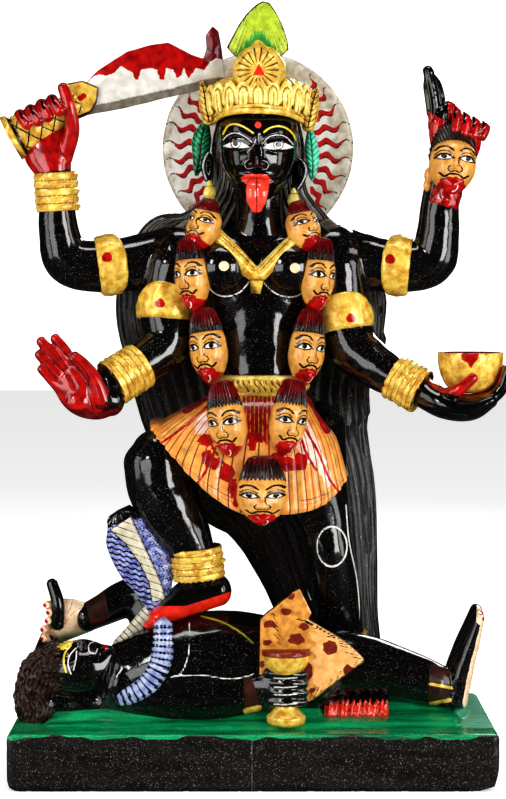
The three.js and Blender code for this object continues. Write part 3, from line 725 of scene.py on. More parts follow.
def trunk():
    return [
        limb([
            [12, 2, 278, 62, 42], [10, 0, 312, 56, 40], [7, -3, 348, 44, 33], [5, -4, 390, 47, 34],
            [4, -3, 434, 62, 37], [4, 0, 466, 74, 33], [4, 3, 484, 58, 26],
        ], 96, 120, tip=0.4, end=0.4, relief=belly),
        limb([[6, 0, 478, 34, 26], [6, -4, 502, 25, 24], [6, -8, 530, 24, 25]]),
        egg([-31, -29, 454], [28, 25, 27], sides=64, rows=48),
        egg([36, -29, 454], [28, 25, 27], sides=64, rows=48),
        egg([-58, -22, 458], [16, 14, 20]),
        egg([66, -22, 458], [16, 14, 20]),
    ]


def belly(angle, share):
    """The line down the middle, the ribs' arch and the fold over the belt."""
    front = np.maximum(0, np.sin(angle)) ** 2
    across = np.cos(angle)
    line = -0.03 * bell(across, 0.1) * bell(share - 0.5, 0.22)
    ribs = -0.03 * bell(share - 0.62 + 0.25 * across**2, 0.04)
    fold = 0.035 * bell(share - 0.34 - 0.08 * across**2, 0.03) - 0.05 * bell(share - 0.3, 0.03)
    return 1 + front * (line + ribs + fold)


def rear_arms():
    return [
        limb([
            [-60, 8, 474, 30], [-105, 4, 462, 28], [-150, 0, 456, 26], [-184, -2, 462, 24],
            [-193, -6, 490, 20], [-195, -10, 526, 17], [-196, -10, 542, 16],
        ], 64, 96),
        limb([
            [70, 8, 474, 30], [110, 4, 462, 28], [148, 0, 456, 26], [178, -2, 462, 24], [184, -6, 490, 21],
            [187, -8, 530, 18], [196, -10, 560, 17],
        ], 64, 96),
    ]


def front_arms():
    return [
        egg([-72, -4, 464], [32, 29, 34]),
        egg([80, -4, 464], [32, 29, 34]),
        limb([
            [-78, -8, 455, 29], [-87, -12, 415, 26], [-84, -18, 382, 25], [-106, -32, 362, 21],
            [-140, -50, 340, 16],
        ], 64, 80),
        limb([
            [84, -8, 455, 28], [90, -12, 410, 26], [98, -18, 378, 26], [124, -34, 356, 22],
            [164, -52, 334, 16],
        ], 64, 80),
    ]


def hand_worked(mesh):
    """A surface with the slight swells that chisel and polish leave."""
    spots = spots_of(mesh)
    return swelled(mesh, 0.28 * ripple(spots, 34) + 0.12 * ripple(spots[:, ::-1], 15))


# Pale ovals and curved lines painted on the breasts
NIPPLES = [((224, 266), (5.2, 5)), ((295, 268), (5.2, 5))]
UNDER_BREASTS = [
    [(208, 286), (214, 293), (226, 296.5), (240, 292), (249, 282)],
    [(263, 282), (272, 291), (284, 296.5), (297, 296), (309, 287)],
]


def kali_body():
    mesh = hand_worked(carved(trunk() + rear_arms() + front_arms(), BODY_GRAIN, 6))
    spots, marks = spots_of(mesh), marks_of(mesh)
    before = -spots[:, 1] - 12
    lay(mesh, "cream", ovals(marks, NIPPLES), before)
    return lay(mesh, "white", strokes(marks, UNDER_BREASTS, 1.5), before)


def legs():
    return [
        limb([[-10, -4, 284, 42, 40], [-54, -26, 276, 36, 36], [-94, -48, 264, 32, 31]], 64, 64),
        limb([
            [-95, -48, 264, 32], [-92, -48, 242, 32], [-82, -49, 220, 32], [-70, -50, 198, 28],
            [-60, -52, 178, 22], [-54, -50, 150, 20],
        ], 64, 80),
        limb([
            [46, 4, 290, 48, 40], [56, 2, 240, 40, 36], [70, 0, 196, 29, 28], [75, -2, 172, 26, 27],
            [80, 4, 138, 27, 28], [87, 12, 98, 25, 24], [93, 18, 60, 20, 20], [95, 20, 20, 19, 20],
        ], 64, 96),
    ]


# A white ring on the bent knee, and pale lines down the straight leg that are painted reflections
KNEE_RING = ((332, 546.5), (15, 20))
LEG_LINES = [
    ([(346, 505), (349, 540), (357, 580), (361, 630)], 1.3),
    ([(281, 519), (297, 538), (301, 560), (303, 580), (311, 600)], 1.2),
]


def kali_legs():
    mesh = hand_worked(carved(legs(), BODY_GRAIN, 4))
    spots, marks = spots_of(mesh), marks_of(mesh)
    knee_ring = 0.75 - np.abs(oval(marks, *KNEE_RING))
    # The pale lines down the leg are painted reflections
    return lay(mesh, "white", either(knee_ring, brushed(marks, LEG_LINES)), -spots[:, 1] - 2)


# The outline of the red rim of the foot on Shiva's chest
FOOT_RIM = [(140, 610), (158, 606), (186, 606), (236, 590), (238, 606), (200, 620), (160, 632), (138, 626)]


def foot_on_chest():
    """Kali's right foot, black above, with a red rim and red toes."""
    sole = [
        [-34, -48, 138, 16, 17], [-56, -50, 134, 19, 18], [-80, -54, 121, 14, 19], [-96, -58, 112, 8, 18]
    ]
    toes = [finger([[-92, -70 + 7 * k, 109], [-104, -72 + 7 * k, 106]], 4.5) for k in range(5)]
    mesh = carved([limb(sole), *toes], FINE_GRAIN, 4)
    return lay(mesh, "red", patch(marks_of(mesh), FOOT_RIM))


def foot_on_ground():
    """Kali's left foot under Shiva's leg, black above, with its toes dipped in red."""
    forms = [limb([[96, 16, 18, 20, 14], [99, -30, 20, 26, 14], [102, -52, 20, 30, 11]], facing=UP)]
    toes = [76 + 12.5 * k for k in range(5)]
    forms += [finger([[x, -46, 27], [x, -59, 25], [1.03 * x - 3, -67, 17]], 8.4, UP) for x in toes]
    mesh = carved(forms, FINE_GRAIN, 2)
    marks = marks_of(mesh)
    ridges = np.cos((marks[:, 0] + 0.15 * marks[:, 1]) * math.tau / 5.6 + 0.9 * np.sin(marks[:, 0] * 0.31))
    drawn_near(mesh, 0.8 * ridges * rise(marks[:, 1], 694, 704))
    spots = spots_of(mesh)
    toe_fronts = marks[:, 1] - 702 + 3.4 * ridges + 2 * ripple(spots, 9)
    # Pale pink on the crests of the toes' ridges is a painted highlight
    nails_and_highlights = 3 * (ridges - 0.72) + 0.8 * ripple(spots, 5) - 0.3
    lay(mesh, "toe_highlight", nails_and_highlights, toe_fronts - 3, 716 - marks[:, 1])
    return lay(mesh, "red", toe_fronts, -44 - spots[:, 1])


# Hands


# The open hand's fingers, from knuckle to tip, with their half widths, its thumb and its creases
OPEN_FINGERS = [
    ([(74, 368), (64, 350), (55, 338)], 6.6), ([(68, 374), (52, 354), (41, 341)], 6.8),
    ([(64, 383), (49, 365), (39, 354)], 6.4), ([(63, 392), (50, 378), (41, 368.5)], 5.8),
]
OPEN_THUMB = [(103, 402), (95, 380), (84, 366), (74, 357)]
HAND_CREASES = [
    [(47.5, 338), (58, 347), (69, 356)], [(38, 348), (50, 357), (62, 369)],
    [(39, 361), (50, 371), (61, 384)], [(71, 357), (82, 367), (89, 379), (88, 392), (94, 412)],
    [(62, 369), (70, 376), (76, 388)],
]


def open_hand():
    """The open palm that blesses, with its thumb folded along its edge."""
    palm = [(112, 401, -50, 15, 15), (98, 399, -55, 21, 14), (83, 392, -58, 23, 12), (68, 376, -59, 19, 9)]
    forms = [limb(marked(palm)), egg(spot(78, 402, -66), [12, 7, 11])]
    forms += [finger(at_depth(line, -60), radius) for line, radius in OPEN_FINGERS]
    mesh = carved([*forms, finger(at_depth(OPEN_THUMB, -68), 8)], HAND_GRAIN, 3)
    marks, spots, normals = marks_of(mesh), spots_of(mesh), normals_of(mesh)
    creases = np.minimum.reduce([off_line(marks, curve(line, 20)) for line in HAND_CREASES])
    drawn_near(mesh, -1.2 * bell(creases, 1) * (normals[:, 1] < 0))
    # Dark red in the creases, and painted shade on the front's undersides that face down
    lay(mesh, "dark_red", either(0.7 - creases, 9 * (-0.45 - normals[:, 2])), -3 * normals[:, 1])
    wrist = marks[:, 0] - 108 + 0.35 * (marks[:, 1] - 395)
    return lay(mesh, "red", 3 * (0.35 - normals[:, 1]) + 0.3 * ripple(spots, 9), -wrist)


# The red part of the hand under the bowl, as an outline
BOWL_PALM = [(428, 384), (440, 392), (468, 398), (486, 396), (500, 382), (508, 350), (508, 340), (420, 340)]


def bowl_hand():
    """The hand under the bowl, with its fingers up behind it and its thumb in front."""
    x, y, z = BOWL_BASE
    beside = x + BOWL_RADIUS / STEP
    palm = [
        [166, -53, 333, 15, 17], [188, -60, 321, 14, 26], [x, -61, z - 13, 13, 28],
        [x + 18, -61, z - 5, 9, 26],
    ]
    forms = [limb(palm)]
    for depth in (y - 20, y - 10, y, y + 10):
        forms.append(
            finger([[x + 8, depth, z - 10], [beside - 5, depth, z + 4], [beside + 2, depth, z + 24]], 7)
        )
    forms.append(finger([[184, -72, 331], [196, -86, 336], [x, y - BOWL_RADIUS / STEP + 2, z + 17]], 7))
    mesh = carved(forms, FINE_GRAIN, 4)
    return lay(mesh, "red", patch(marks_of(mesh), BOWL_PALM))


# Where each curled finger starts at its knuckle and ends
SWORD_KNUCKLES = [
    ((20, 113), (28, 130)), ((30.5, 108), (39, 127)), ((41.5, 102.5), (49, 123)), ((52, 98), (60, 117))
]
HEAD_KNUCKLES = [
    ((455, 109), (455, 136)), ((464.5, 115), (464, 139)), ((474, 119.5), (473, 141)),
    ((483.5, 124), (482, 142)),
]
# The sword hand's thumb and the other's raised index: column, row, depth, half width and half depth
SWORD_THUMB = [(64, 158, -12, 8.5), (72, 130, -22, 7.5), (69, 106, -30, 6.5), (63, 87, -30, 5.5)]
RAISED_INDEX = [
    (432, 128, -16, 4, 8), (436, 114, -16, 9, 8), (435, 99, -16, 10.5, 8), (432, 84, -16, 8.5, 8),
    (428, 70, -16, 5, 8),
]


def curled(knuckles, radius):
    """Four fingers curled forward and down from their knuckles."""
    fingers = []
    for (column, row), (end_column, end_row) in knuckles:
        over = [spot(column - 1, row + 8, 4), spot(column, row + 2, -14), spot(column + 2, row + 5, -32)]
        fingers.append(finger([*over, spot(end_column, end_row - 5, -38)], radius, UP))
    return fingers


def knuckle_tops(marks, knuckles):
    """The ends of the gripped hair or grip that show black between the fingers' tops."""
    tops = [[(x, y - 1), (x + 0.3 * (end[0] - x), y + 0.3 * (end[1] - y))] for (x, y), end in knuckles]
    return strokes(marks, tops, 2.7)


def sword_hand():
    """The fist round the hilt, red within, with black knuckles."""
    palm = [[-198, -10, 550, 18, 16], [-203, -8, 570, 25, 16], [-204, -4, 594, 22, 14]]
    forms = [limb(palm), limb(marked(SWORD_THUMB)), *curled(SWORD_KNUCKLES, 6.4)]
    mesh = carved(forms, HAND_GRAIN, 3)
    marks, spots = marks_of(mesh), spots_of(mesh)
    wrist = spots[:, 2] - 549 - 0.15 * (spots[:, 0] + 200)
    tops = np.array([top for top, end in SWORD_KNUCKLES])
    cuts = [[(x - 2, y + 1), (x + 8, y + 19)] for x, y in (tops[:-1] + tops[1:]) / 2]
    lay(mesh, "dark_red", strokes(marks, cuts, 1.3), -20 - spots[:, 1])
    return lay(mesh, "red", wrist, 12 - spots[:, 1], -knuckle_tops(marks, SWORD_KNUCKLES))


def head_hand():
    """The fist that holds the head by its hair, with its index finger raised like a leaf."""
    forms = [
        limb([[196, -8, 556, 19, 15], [203, -8, 578, 23, 15], [206, -8, 596, 20, 14]]),
        limb([[186, -18, 566, 9, 10], [184, -20, 594, 10, 11], [194, -20, 612, 8, 9]]),
        limb(marked(RAISED_INDEX), 40, 48),
    ]
    mesh = carved(forms + curled(HEAD_KNUCKLES, 5.6), HAND_GRAIN, 3)
    marks, spots = marks_of(mesh), spots_of(mesh)
    on_index = rise(124 - marks[:, 1], 0, 4) * (marks[:, 0] < 449) * rise(marks[:, 1], 62, 70)
    ribs = np.cos(off_line(marks, middle_of(RAISED_INDEX, 30)) * math.tau / 4.4)
    swelled(mesh, 0.5 * ribs * on_index)
    palm = both(marks[:, 1] - 121 + 0.5 * (446 - marks[:, 0]), spots[:, 2] - 553, 8 - spots[:, 1])
    fist = np.where(marks[:, 0] < 448, palm, both(palm + 30, spots[:, 2] - 553, 12 - spots[:, 1]))
    return lay(mesh, "red", fist, -knuckle_tops(marks, HEAD_KNUCKLES))


# Kali's head


def skull(centre, half_sizes, turn, sides, rows, jaw=0.28, brow=0.0):
    """A plain head with its columns crowded towards the face, and its places on a ball that faces -Y."""
    mesh = ball(sides, rows)
    sphere = places_of(mesh)
    ring = np.hypot(sphere[:, 0], sphere[:, 1])
    turn_from_face = np.arctan2(sphere[:, 0], -sphere[:, 1])
    crowded = turn_from_face - 0.5 * np.sin(turn_from_face)
    local = np.stack([ring * np.sin(crowded), -ring * np.cos(crowded), sphere[:, 2]], 1)
    shaped = local * np.array(half_sizes) * STEP
    shaped[:, 0] *= 1 - jaw * np.maximum(0, -local[:, 2]) ** 1.5
    shaped[:, :2] *= 1 + brow * rise(local[:, [2]], 0.1, 0.9)
    return move_to(mesh, shaped @ turning(turn).T + at(centre)), local


def faceward(local):
    """How far towards the face each place on a head's ball lies, from 0 to 1."""
    return np.clip(-2 * local[:, 1], 0, 1)


# Kali's brow mark, brows, lids, eyes, nose, lips and the edges of her face
BINDI = (258, 125)
BROWS = [
    [(223, 134), (228, 126), (236, 124), (244, 127), (253, 133)],
    [(264, 132), (270, 128), (279, 126), (286, 128), (293, 134), (296, 140)],
]
LID_LINES = [
    [(223, 140), (228, 135), (235, 133), (244, 136), (252, 142)],
    [(263, 143), (269, 137), (277.5, 135), (286, 137), (293, 144.5)],
]
EYE_SHAPES = [
    [
        (222.5, 146.4), (229, 142.8), (235.5, 140.8), (243, 143), (250.5, 147.4), (243, 148.2),
        (235.5, 148), (228, 147.6),
    ],
    [
        (262.5, 148), (269, 143.6), (277.5, 141.4), (286, 143.4), (294.5, 147.6), (286, 149.3),
        (277.5, 149.5), (269, 149.3),
    ],
]
IRISES = [(235.6, 143.4), (278.4, 144.6)]
# The white lines down the nose are painted highlights; the nostrils are outlined in white
NOSE_LINES = [[(256, 139), (253, 146), (247, 152.5)], [(260.5, 147), (261.4, 151), (261.4, 156)]]
NOSTRILS = [
    [(249, 159), (244.8, 163), (245.5, 167), (248, 168.8), (252.5, 168)],
    [(262, 160.5), (266, 161.5), (268.5, 165), (267, 168.6), (262, 169.5)],
]
LIPS = [
    (240, 178), (245, 174.6), (252, 173.6), (256, 174.6), (260, 173.6), (267, 175), (272, 180), (267, 184),
    (246, 184),
]
FACE_EDGES = [
    [(219.5, 143), (221, 160), (224, 176), (229, 188)], [(297, 152), (295, 168), (290, 184), (283, 196)]
]


def kali_relief(marks):
    """How far Kali's features stand out, in steps, seen where they show in the photo."""
    x, y = marks.T
    nose = (3 + 8 * rise(y, 136, 164)) * bell(x - 256.8, 5) * rise(y, 124, 138) * (1 - rise(y, 166, 171))
    wings = 4.5 * (bell(x - 248.5, 3.6) + bell(x - 264.5, 3.6)) * bell(y - 164.5, 4.2)
    sockets = -3.4 * (bell(x - 242, 9) + bell(x - 272, 9)) * bell(y - 142, 9)
    eyes = sum(
        4.2 * np.sqrt(np.maximum(0, 1 - ((x - column) / 16) ** 2 - ((y - row) / 7) ** 2))
        for column, row in IRISES
    )
    lids = sum(1.3 * bell(off_line(marks, curve(line, 25)), 1.3) for line in LID_LINES)
    brows = sum(1.5 * bell(off_line(marks, curve(line, 25)), 3) for line in BROWS)
    lips = 4 * bell(x - 256, 15) * (bell(y - 175.5, 2.6) + bell(y - 184.5, 3))
    mouth = lips - 3 * bell(x - 256, 14) * bell(y - 180, 1.6)
    chin = 5 * bell(x - 256.5, 13) * bell(y - 199, 9)
    cheeks = 2 * (bell(x - 232, 12) + bell(x - 283, 12)) * bell(y - 166, 12)
    return nose + wings + sockets + eyes + lids + brows + mouth + chin + cheeks


def kali_face():
    """Kali's face, with raised features and painted brows, eyes and lips."""
    mesh, local = skull([5.5, -14, 567], [38, 42, 52], (4, 0, 0), 300, 260, brow=0.34)
    marks = marks_of(mesh)
    before = faceward(local)
    drawn_near(mesh, kali_relief(marks) * before)
    near = 6 * (before - 0.3)
    lay(mesh, "yellow", strokes(marks, BROWS, 1.9), near)
    # White lid lines and nostril outlines, and painted highlights down the nose
    lines = either(strokes(marks, LID_LINES, 0.9), strokes(marks, NOSE_LINES + NOSTRILS, 0.5))
    whites = patches(marks, EYE_SHAPES)
    lay(mesh, "white", either(lines, whites), near)
    lay(mesh, "grey", strokes(marks, FACE_EDGES, 0.8), near + 1.5)
    lay(mesh, "iris", dots(marks, IRISES, 5.2), near, whites + 0.4)
    lay(mesh, "ring", 0.75 - np.abs(dots(marks, IRISES, 3.5)), near, whites - 0.2)
    return lay(mesh, "lips", either(patch(marks, LIPS), dots(marks, [BINDI], 3.3)), near)


# The column of the groove down the tongue
TONGUE_MIDDLE = 256.6


def tongue():
    """The tongue that hangs over the chin, with its groove."""
    mesh = limb([
        [5, -50, 536, 11, 6], [4, -58, 529, 11, 5], [3.5, -58, 519, 9.5, 4], [3.5, -55, 511, 5.5, 4]
    ], 64, 64, 0.4)
    column, row = marks_of(mesh).T
    shown = rise(row, 184, 190) * (1 - rise(row, 202, 208))
    drawn_near(mesh, -1.4 * bell(column - TONGUE_MIDDLE, 1.5) * shown)
    return lay(mesh, "dark_red", 0.8 - np.abs(column - TONGUE_MIDDLE))


# Each side's ear: the line of its rim, its middle, and the middle of its drop
EAR_RIMS = {
    -1: [(208, 153), (203.8, 161), (203.4, 170), (206.5, 180)],
    1: [(299, 158), (304, 163), (306, 171), (303.4, 180), (298, 189)],
}
EAR_MIDDLES = {-1: (209, 167), 1: (300, 174)}
EAR_DROPS = {-1: (209.6, 191), 1: (293.5, 198.5)}


def ear(side):
    """An ear with its rim and lobe."""
    rim = [[*spot(column, row, -12), 2.4] for column, row in EAR_RIMS[side]]
    mesh = carved([egg(spot(*EAR_MIDDLES[side], -7), [4.5, 6, 15]), limb(rim)], HAND_GRAIN, 2)
    return lay(mesh, "white", stroke(marks_of(mesh), EAR_RIMS[side], 1))


def earring(side):
    """A drop that hangs from the ear, with one cut ring."""
    x, y, z = spot(*EAR_DROPS[side], -16)
    mesh = limb(
        [[x, y, z + 9, 2, 2], [x, y, z + 3, 4.6, 4.6], [x, y, z - 3, 6.4, 6.2], [x, y, z - 6, 5, 5]], 48, 48
    )
    from_ring = spots_of(mesh)[:, 2] - z - 5
    swelled(mesh, -0.6 * bell(from_ring, 0.8))
    return lay(mesh, "dark", 0.3 - np.abs(from_ring))


def veined(mesh, leaf, bends, slant, apart, depth, width):
    """Cuts the rib, with so many bends, and the slanting veins of a leaf made of stations. Gives each
    corner's distance from the rib, and the veins' height from -1 to 1."""
    marks = marks_of(mesh)
    from_rib = off_line(marks, curve([seen(at([place[:3]]))[0] for place in leaf], bends))
    veins = np.cos((marks[:, 1] + slant * from_rib) * math.tau / apart)
    drawn_near(mesh, 0.5 * veins - depth * bell(from_rib, width))
    return from_rib, veins


# The leaf at each ear and the one at each end of the crown: column, row, depth, half width, half depth
EAR_LEAVES = {
    -1: [(206, 121, 4, 3, 6), (202, 139, 2, 9.5, 8), (200, 158, 2, 7.5, 7), (196.5, 174, 4, 2.5, 5)],
    1: [(310, 130, 4, 3, 6), (311.5, 148, 2, 7, 8), (312.5, 163, 2, 6.5, 7), (312, 179, 4, 2.5, 5)],
}
WINGS = {
    -1: [(209, 121, -14, 6, 12), (206, 105, -14, 7, 14), (204, 92, -14, 5, 9), (201.5, 83, -14, 2, 6)],
    1: [(308, 127, -14, 6, 12), (311, 112, -14, 7.5, 14), (314, 98, -14, 5, 9), (317, 89.5, -14, 2, 6)],
}


def ear_leaf(side):
    """A painted leaf that stands beside the ear."""
    leaf = marked(EAR_LEAVES[side])
    mesh = limb(leaf, 96, 72)
    from_rib, veins = veined(mesh, leaf, 30, 0.9, 5.5, 0.9, 1.1)
    return lay(mesh, "dark", either(0.9 - from_rib, -0.62 - veins))


# The crown and its crest


# The band's line above the brow, from ear to ear: column, row and depth
BAND_LINE = [
    (212, 121, -6), (219, 114.5, -30), (231, 110.5, -48), (244, 109, -57), (258, 109, -61),
    (272, 109.5, -57), (285, 111.5, -48), (298, 116, -30), (306.5, 122.5, -6),
]


def crown_band():
    """The band round the brow, arched in front and low over the ears, with one cut line."""
    front = [spot(*place) for place in BAND_LINE]
    behind = [[52, 16, 606], [36, 36, 610], [5, 44, 612], [-26, 36, 610], [-42, 16, 606]]
    mesh = hoop([*front, *behind], 3.2, 4.6)
    spots = spots_of(mesh)
    line = curve([(column, row - 1.6) for column, row, depth in BAND_LINE], 60)
    from_line = off_line(marks_of(mesh), line)
    front_side = -spots[:, 1]
    swelled(mesh, -0.9 * bell(from_line, 0.7) * (front_side > 0) + 0.2 * ripple(spots, 12))
    return lay(mesh, "dark", 0.55 - from_line, front_side)


# How many petals stand round the crown
PETALS = 22


def crown_cup():
    """A row of round-topped petals, each with a doubled edge round a dark slit, before a plain cup."""
    cup = [[5, -8, 617, 47, 44], [5, -8, 623, 49, 45], [5, -7, 629, 48, 42], [5, -6, 633, 44, 38]]
    forms = [
        limb(cup, 120, 40, 0.15, 0.15), egg([-14, -4, 628], [26, 34, 13]), egg([26, -4, 624], [24, 34, 11])
    ]
    for k in range(PETALS):
        turn = math.tau * k / PETALS - math.pi / 2
        across, back = math.cos(turn), math.sin(turn)
        middle = [5 + 51 * across, -8 + 48 * back, 617 - 5 * back]
        forms.append(egg(middle, [7.8, 4.5, 16], (0, 0, math.degrees(turn) + 90), 32, 24))
    mesh = carved(forms, HAND_GRAIN, 2)
    spots = spots_of(mesh)
    turn = np.arctan2(spots[:, 1] + 8, spots[:, 0] - 5) + math.pi / 2
    off_middle = 14.5 * ((turn * PETALS / math.tau + 0.5) % 1 - 0.5)
    up = spots[:, 2] - 617 + 5 * np.sin(turn - math.pi / 2)
    edge = 7 * np.abs(np.hypot(off_middle / 7.4, np.maximum(0, up + 1) / 14) - 0.66)
    slit = np.where(up < 3, np.abs(off_middle), 9)
    on_petals = np.hypot(spots[:, 0] - 5, (spots[:, 1] + 8) * 1.06) - 50.5
    panels = np.where(on_petals < 0, np.abs(7.25 - np.abs(off_middle)), 9)
    cuts = np.minimum(np.where(on_petals > 0, np.minimum(edge, slit), 9), np.where(up > 6, panels, 9))
    swelled(mesh, -1.1 * bell(cuts, 0.8))
    # Pale gold beside each cut is a painted highlight along its edge
    lay(mesh, "light", 0.8 - np.abs(cuts - 1.8), on_petals)
    return lay(mesh, "dark", 0.3 - cuts)


def crown_wing(side):
    """The upright leaf at each end of the crown."""
    leaf = marked(WINGS[side])
    mesh = limb(leaf, 72, 56)
    from_rib, veins = veined(mesh, leaf, 20, 0.8, 6, 0.8, 1)
    return lay(mesh, "dark", either(0.7 - from_rib, 3 * (-0.75 - veins)))


# The rosette's middle and the corners of its painted mark
ROSETTE = (258, 70)
ROSETTE_MARK = [(259, 63.5), (252.5, 75.5), (265, 75.5)]


def rosette():
    """The round flower in front of the crown, with grooves that point to its middle."""
    flutes = 18
    disc = [[6, -36, 645, 25, 25], [6, -46, 645, 25, 25], [6, -56, 645, 19, 19]]
    mesh = limb(disc, 288, 96, 0, 0.2, facing=UP)
    marks, spots = marks_of(mesh), spots_of(mesh)
    off = marks - ROSETTE
    turn, reach = np.arctan2(off[:, 0], -off[:, 1]), np.hypot(*off.T)
    rays = np.cos(flutes * turn)
    out = unit(np.stack([off[:, 0], np.zeros(len(off)), -off[:, 1]], 1) + 1e-9)
    lobes = (0.9 * np.abs(np.cos(flutes * turn / 4)) + 4.5 * bell(turn, 0.22)) * rise(reach, 14, 24)
    move_to(mesh, places_of(mesh) + out * (lobes * STEP)[:, None])
    lift = (0.4 + 0.9 * rays) * rise(reach, 4, 11) * (1 - 0.7 * rise(reach, 18, 23))
    drawn_near(mesh, lift * (spots[:, 1] < -40))
    lay(mesh, "dark", 2 * (-0.86 - rays) + 0.2, reach - 8, 20.5 - reach, -38 - spots[:, 1])
    return lay(mesh, "orange", patch(marks, ROSETTE_MARK), -46 - spots[:, 1])


# The crest's outline, the place above it that its veins point to, and the lines of its green notch
CREST_OUTLINE = [
    (263, 1.5), (257, 5), (250, 11), (244, 18), (238, 27), (233, 36), (228.5, 45), (229.5, 51), (238, 57),
    (249, 57), (258, 46), (268, 57), (277, 57.5), (287, 51), (288, 45), (286, 36), (283, 27), (279, 18),
    (274, 10), (269, 3.5),
]
CREST_TOP = (262, -12)
CREST_GREENS = [[(257, 40), (249, 48), (242, 58)], [(259, 38), (267, 48), (275, 58)]]


def crest():
    """The two-lobed leaf that crowns the head, with veins that run down from its tip."""
    line = at_depth(CREST_OUTLINE, -18)
    closed = curve([*line, line[0]], 96)[:-1]
    forms = [plate(closed[:, [0, 2]], -18, CREST_THICKNESS * 0.8), egg([6, -16, 662], [22, 8, 18])]
    mesh = carved(forms, FINE_GRAIN, 8)
    marks = marks_of(mesh)
    off = marks - CREST_TOP
    veins = np.cos(np.arctan2(off[:, 0] + 4, off[:, 1]) * 88)
    inside = patch(marks, curve([*CREST_OUTLINE, CREST_OUTLINE[0]], 80))
    in_front = spots_of(mesh)[:, 1] < -18
    drawn_near(mesh, np.where(in_front, 0.4 * veins + 0.28 * np.minimum(inside, 9), 0))
    lay(mesh, "dark", either(1.1 * (-0.86 - veins), 0.8 - inside))
    return lay(mesh, "green", strokes(marks, CREST_GREENS, 13) / 7 + 0.35 * veins)


# Halo


# How far from the halo's middle its flames start and end, in pixels, and the rows that they end at
FLAME_INNER = 53
FLAME_OUTER = 92
FLAME_ROWS = {-1: [92, 108, 124, 143, 161, 177, 195, 211], 1: [74, 88, 105, 124, 142, 160, 179, 196, 212]}


def flame(marks, centre, side, row):
    """A wavy flame that runs out from beside the head to the rim, and the dark line under it."""
    start = centre + [side * FLAME_INNER, (row - centre[1]) * 0.6]
    stop = centre + [side * math.sqrt(FLAME_OUTER**2 - (row - centre[1]) ** 2), row - centre[1]]
    length = np.linalg.norm(stop - start)
    way = (stop - start) / length
    across = (marks - start) @ [-way[1], way[0]] * side
    along = (marks - start) @ way / length
    wave = across - 2.8 * np.sin(along * 12) * rise(along, 0.05, 0.4)
    width = 3.2 * rise(1 - along, 0, 0.5) * rise(along, -0.25, 0.3)
    blaze = both(width - np.abs(wave), 30 * along, 30 * (1 - along))
    line = both(0.7 - np.abs(wave - width * 0.9), 30 * (along - 0.3), 30 * (1.1 - along))
    return blaze, line


def halo():
    """The disc behind the head, painted with wavy flames that reach out to the rim."""
    x, y, z = HALO_CENTRE
    half = HALO_THICKNESS / 2 / STEP
    radius = HALO_RADIUS / STEP
    rim = [(0, 4), (0.1, 1.2), (0.3, 0), (0.7, 0), (0.9, 1.2), (1, 4)]
    flat = np.linspace(0.02, 0.98, 60) * (radius - 4)
    profile = [[0, ring] for ring in flat] + [[share, radius - inset] for share, inset in rim]
    profile += [[1, ring] for ring in flat[::-1]]
    mesh = rippled(turned([x, y - half, z], [x, y + half, z], profile, 480), 0.35, 30)
    spots, marks = spots_of(mesh), marks_of(mesh)
    centre = seen(at([[x, y - half, z]]))[0]
    front = y - spots[:, 1]
    ends = [(side, row) for side, rows in FLAME_ROWS.items() for row in rows]
    flames, lines = zip(*(flame(marks, centre, side, row) for side, row in ends))
    lay(mesh, "red", either(*flames), front)
    lay(mesh, "black", either(*lines), front)
    near_head = (66 - np.abs(marks[:, 1] - 150)) / 14
    bright = 82 - 0.09 * (marks[:, 0] - 259) - np.hypot(*(marks - centre).T)
    return lay(mesh, "pale", bright / 11 + 0.6 * ripple(spots, 26), near_head, front)


def hair():
    """The combed sheet of hair that spreads behind the shoulders and falls to the plinth."""
    locks, strands = 46, 130
    crests = []

    def combed(angle, share):
        wave = angle + 0.05 * np.sin(9 * share)
        crests.append(np.cos(locks * wave))
        calm = 1 - 0.8 * np.cos(angle) ** 8 * (share < 0.45)
        return 1 + calm * (0.026 * crests[0] + 0.007 * np.cos(strands * wave + 3 * np.sin(7 * share)))

    mesh = limb([
        [5, 14, 614, 38, 32], [5, 16, 580, 46, 34], [5, 20, 532, 50, 32], [4, 24, 500, 82, 28],
        [0, 32, 474, 119, 22], [-2, 44, 424, 137, 19], [1, 48, 370, 131, 20], [5, 50, 315, 116, 21],
        [22, 50, 265, 104, 22], [48, 50, 214, 80, 23], [66, 48, 155, 62, 24], [78, 46, 100, 50, 25],
        [90, 44, 50, 42, 26], [95, 42, 4, 40, 26],
    ], 736, 170, tip=0.4, end=0.3, relief=combed)
    spots = spots_of(mesh)
    lay(mesh, "brown", (spots[:, 2] - 470) / 6 + 2 * ripple(spots, 40))
    # Grey lines along the crests of the locks: pale dust in the carving, and a painted highlight on each
    # crest
    lines = 2.2 * (crests[0] - 0.82) + 0.35 * ripple(spots, 9)
    return lay(mesh, "grey", lines, (spots[:, 2] - 452) / 8)


# Jewellery


def band(start, end, radius, arch, dot, width):
    """A smooth band round an arm, with one edge arched up in front and a painted red drop."""
    profile = [
        [0, radius - 2.5], [0.04, radius - 1], [0.12, radius], [0.5, radius + 1.2], [0.88, radius],
        [0.96, radius - 1], [1, radius - 2.5],
    ]
    mesh = turned(start, end, filled(profile, 48), 160)
    share = share_between(mesh, start, end)
    way = at(end) - at(start)
    across = (places_of(mesh)[:, 1] - at(start)[1] - share * way[1]) / (radius * STEP)
    lift = arch * rise(-across, 0.1, 1) * rise(share, 0.2, 1) * STEP
    move_to(mesh, places_of(mesh) + way / np.linalg.norm(way) * lift[:, None])
    rippled(mesh, 0.3, 16)
    column, row = dot
    drop = [(column - 1.2, row + 0.8), (column, row - 1), (column + 1.2, row + 0.8)]
    return lay(mesh, "red", width - off_line(marks_of(mesh), drop), -6 * across)


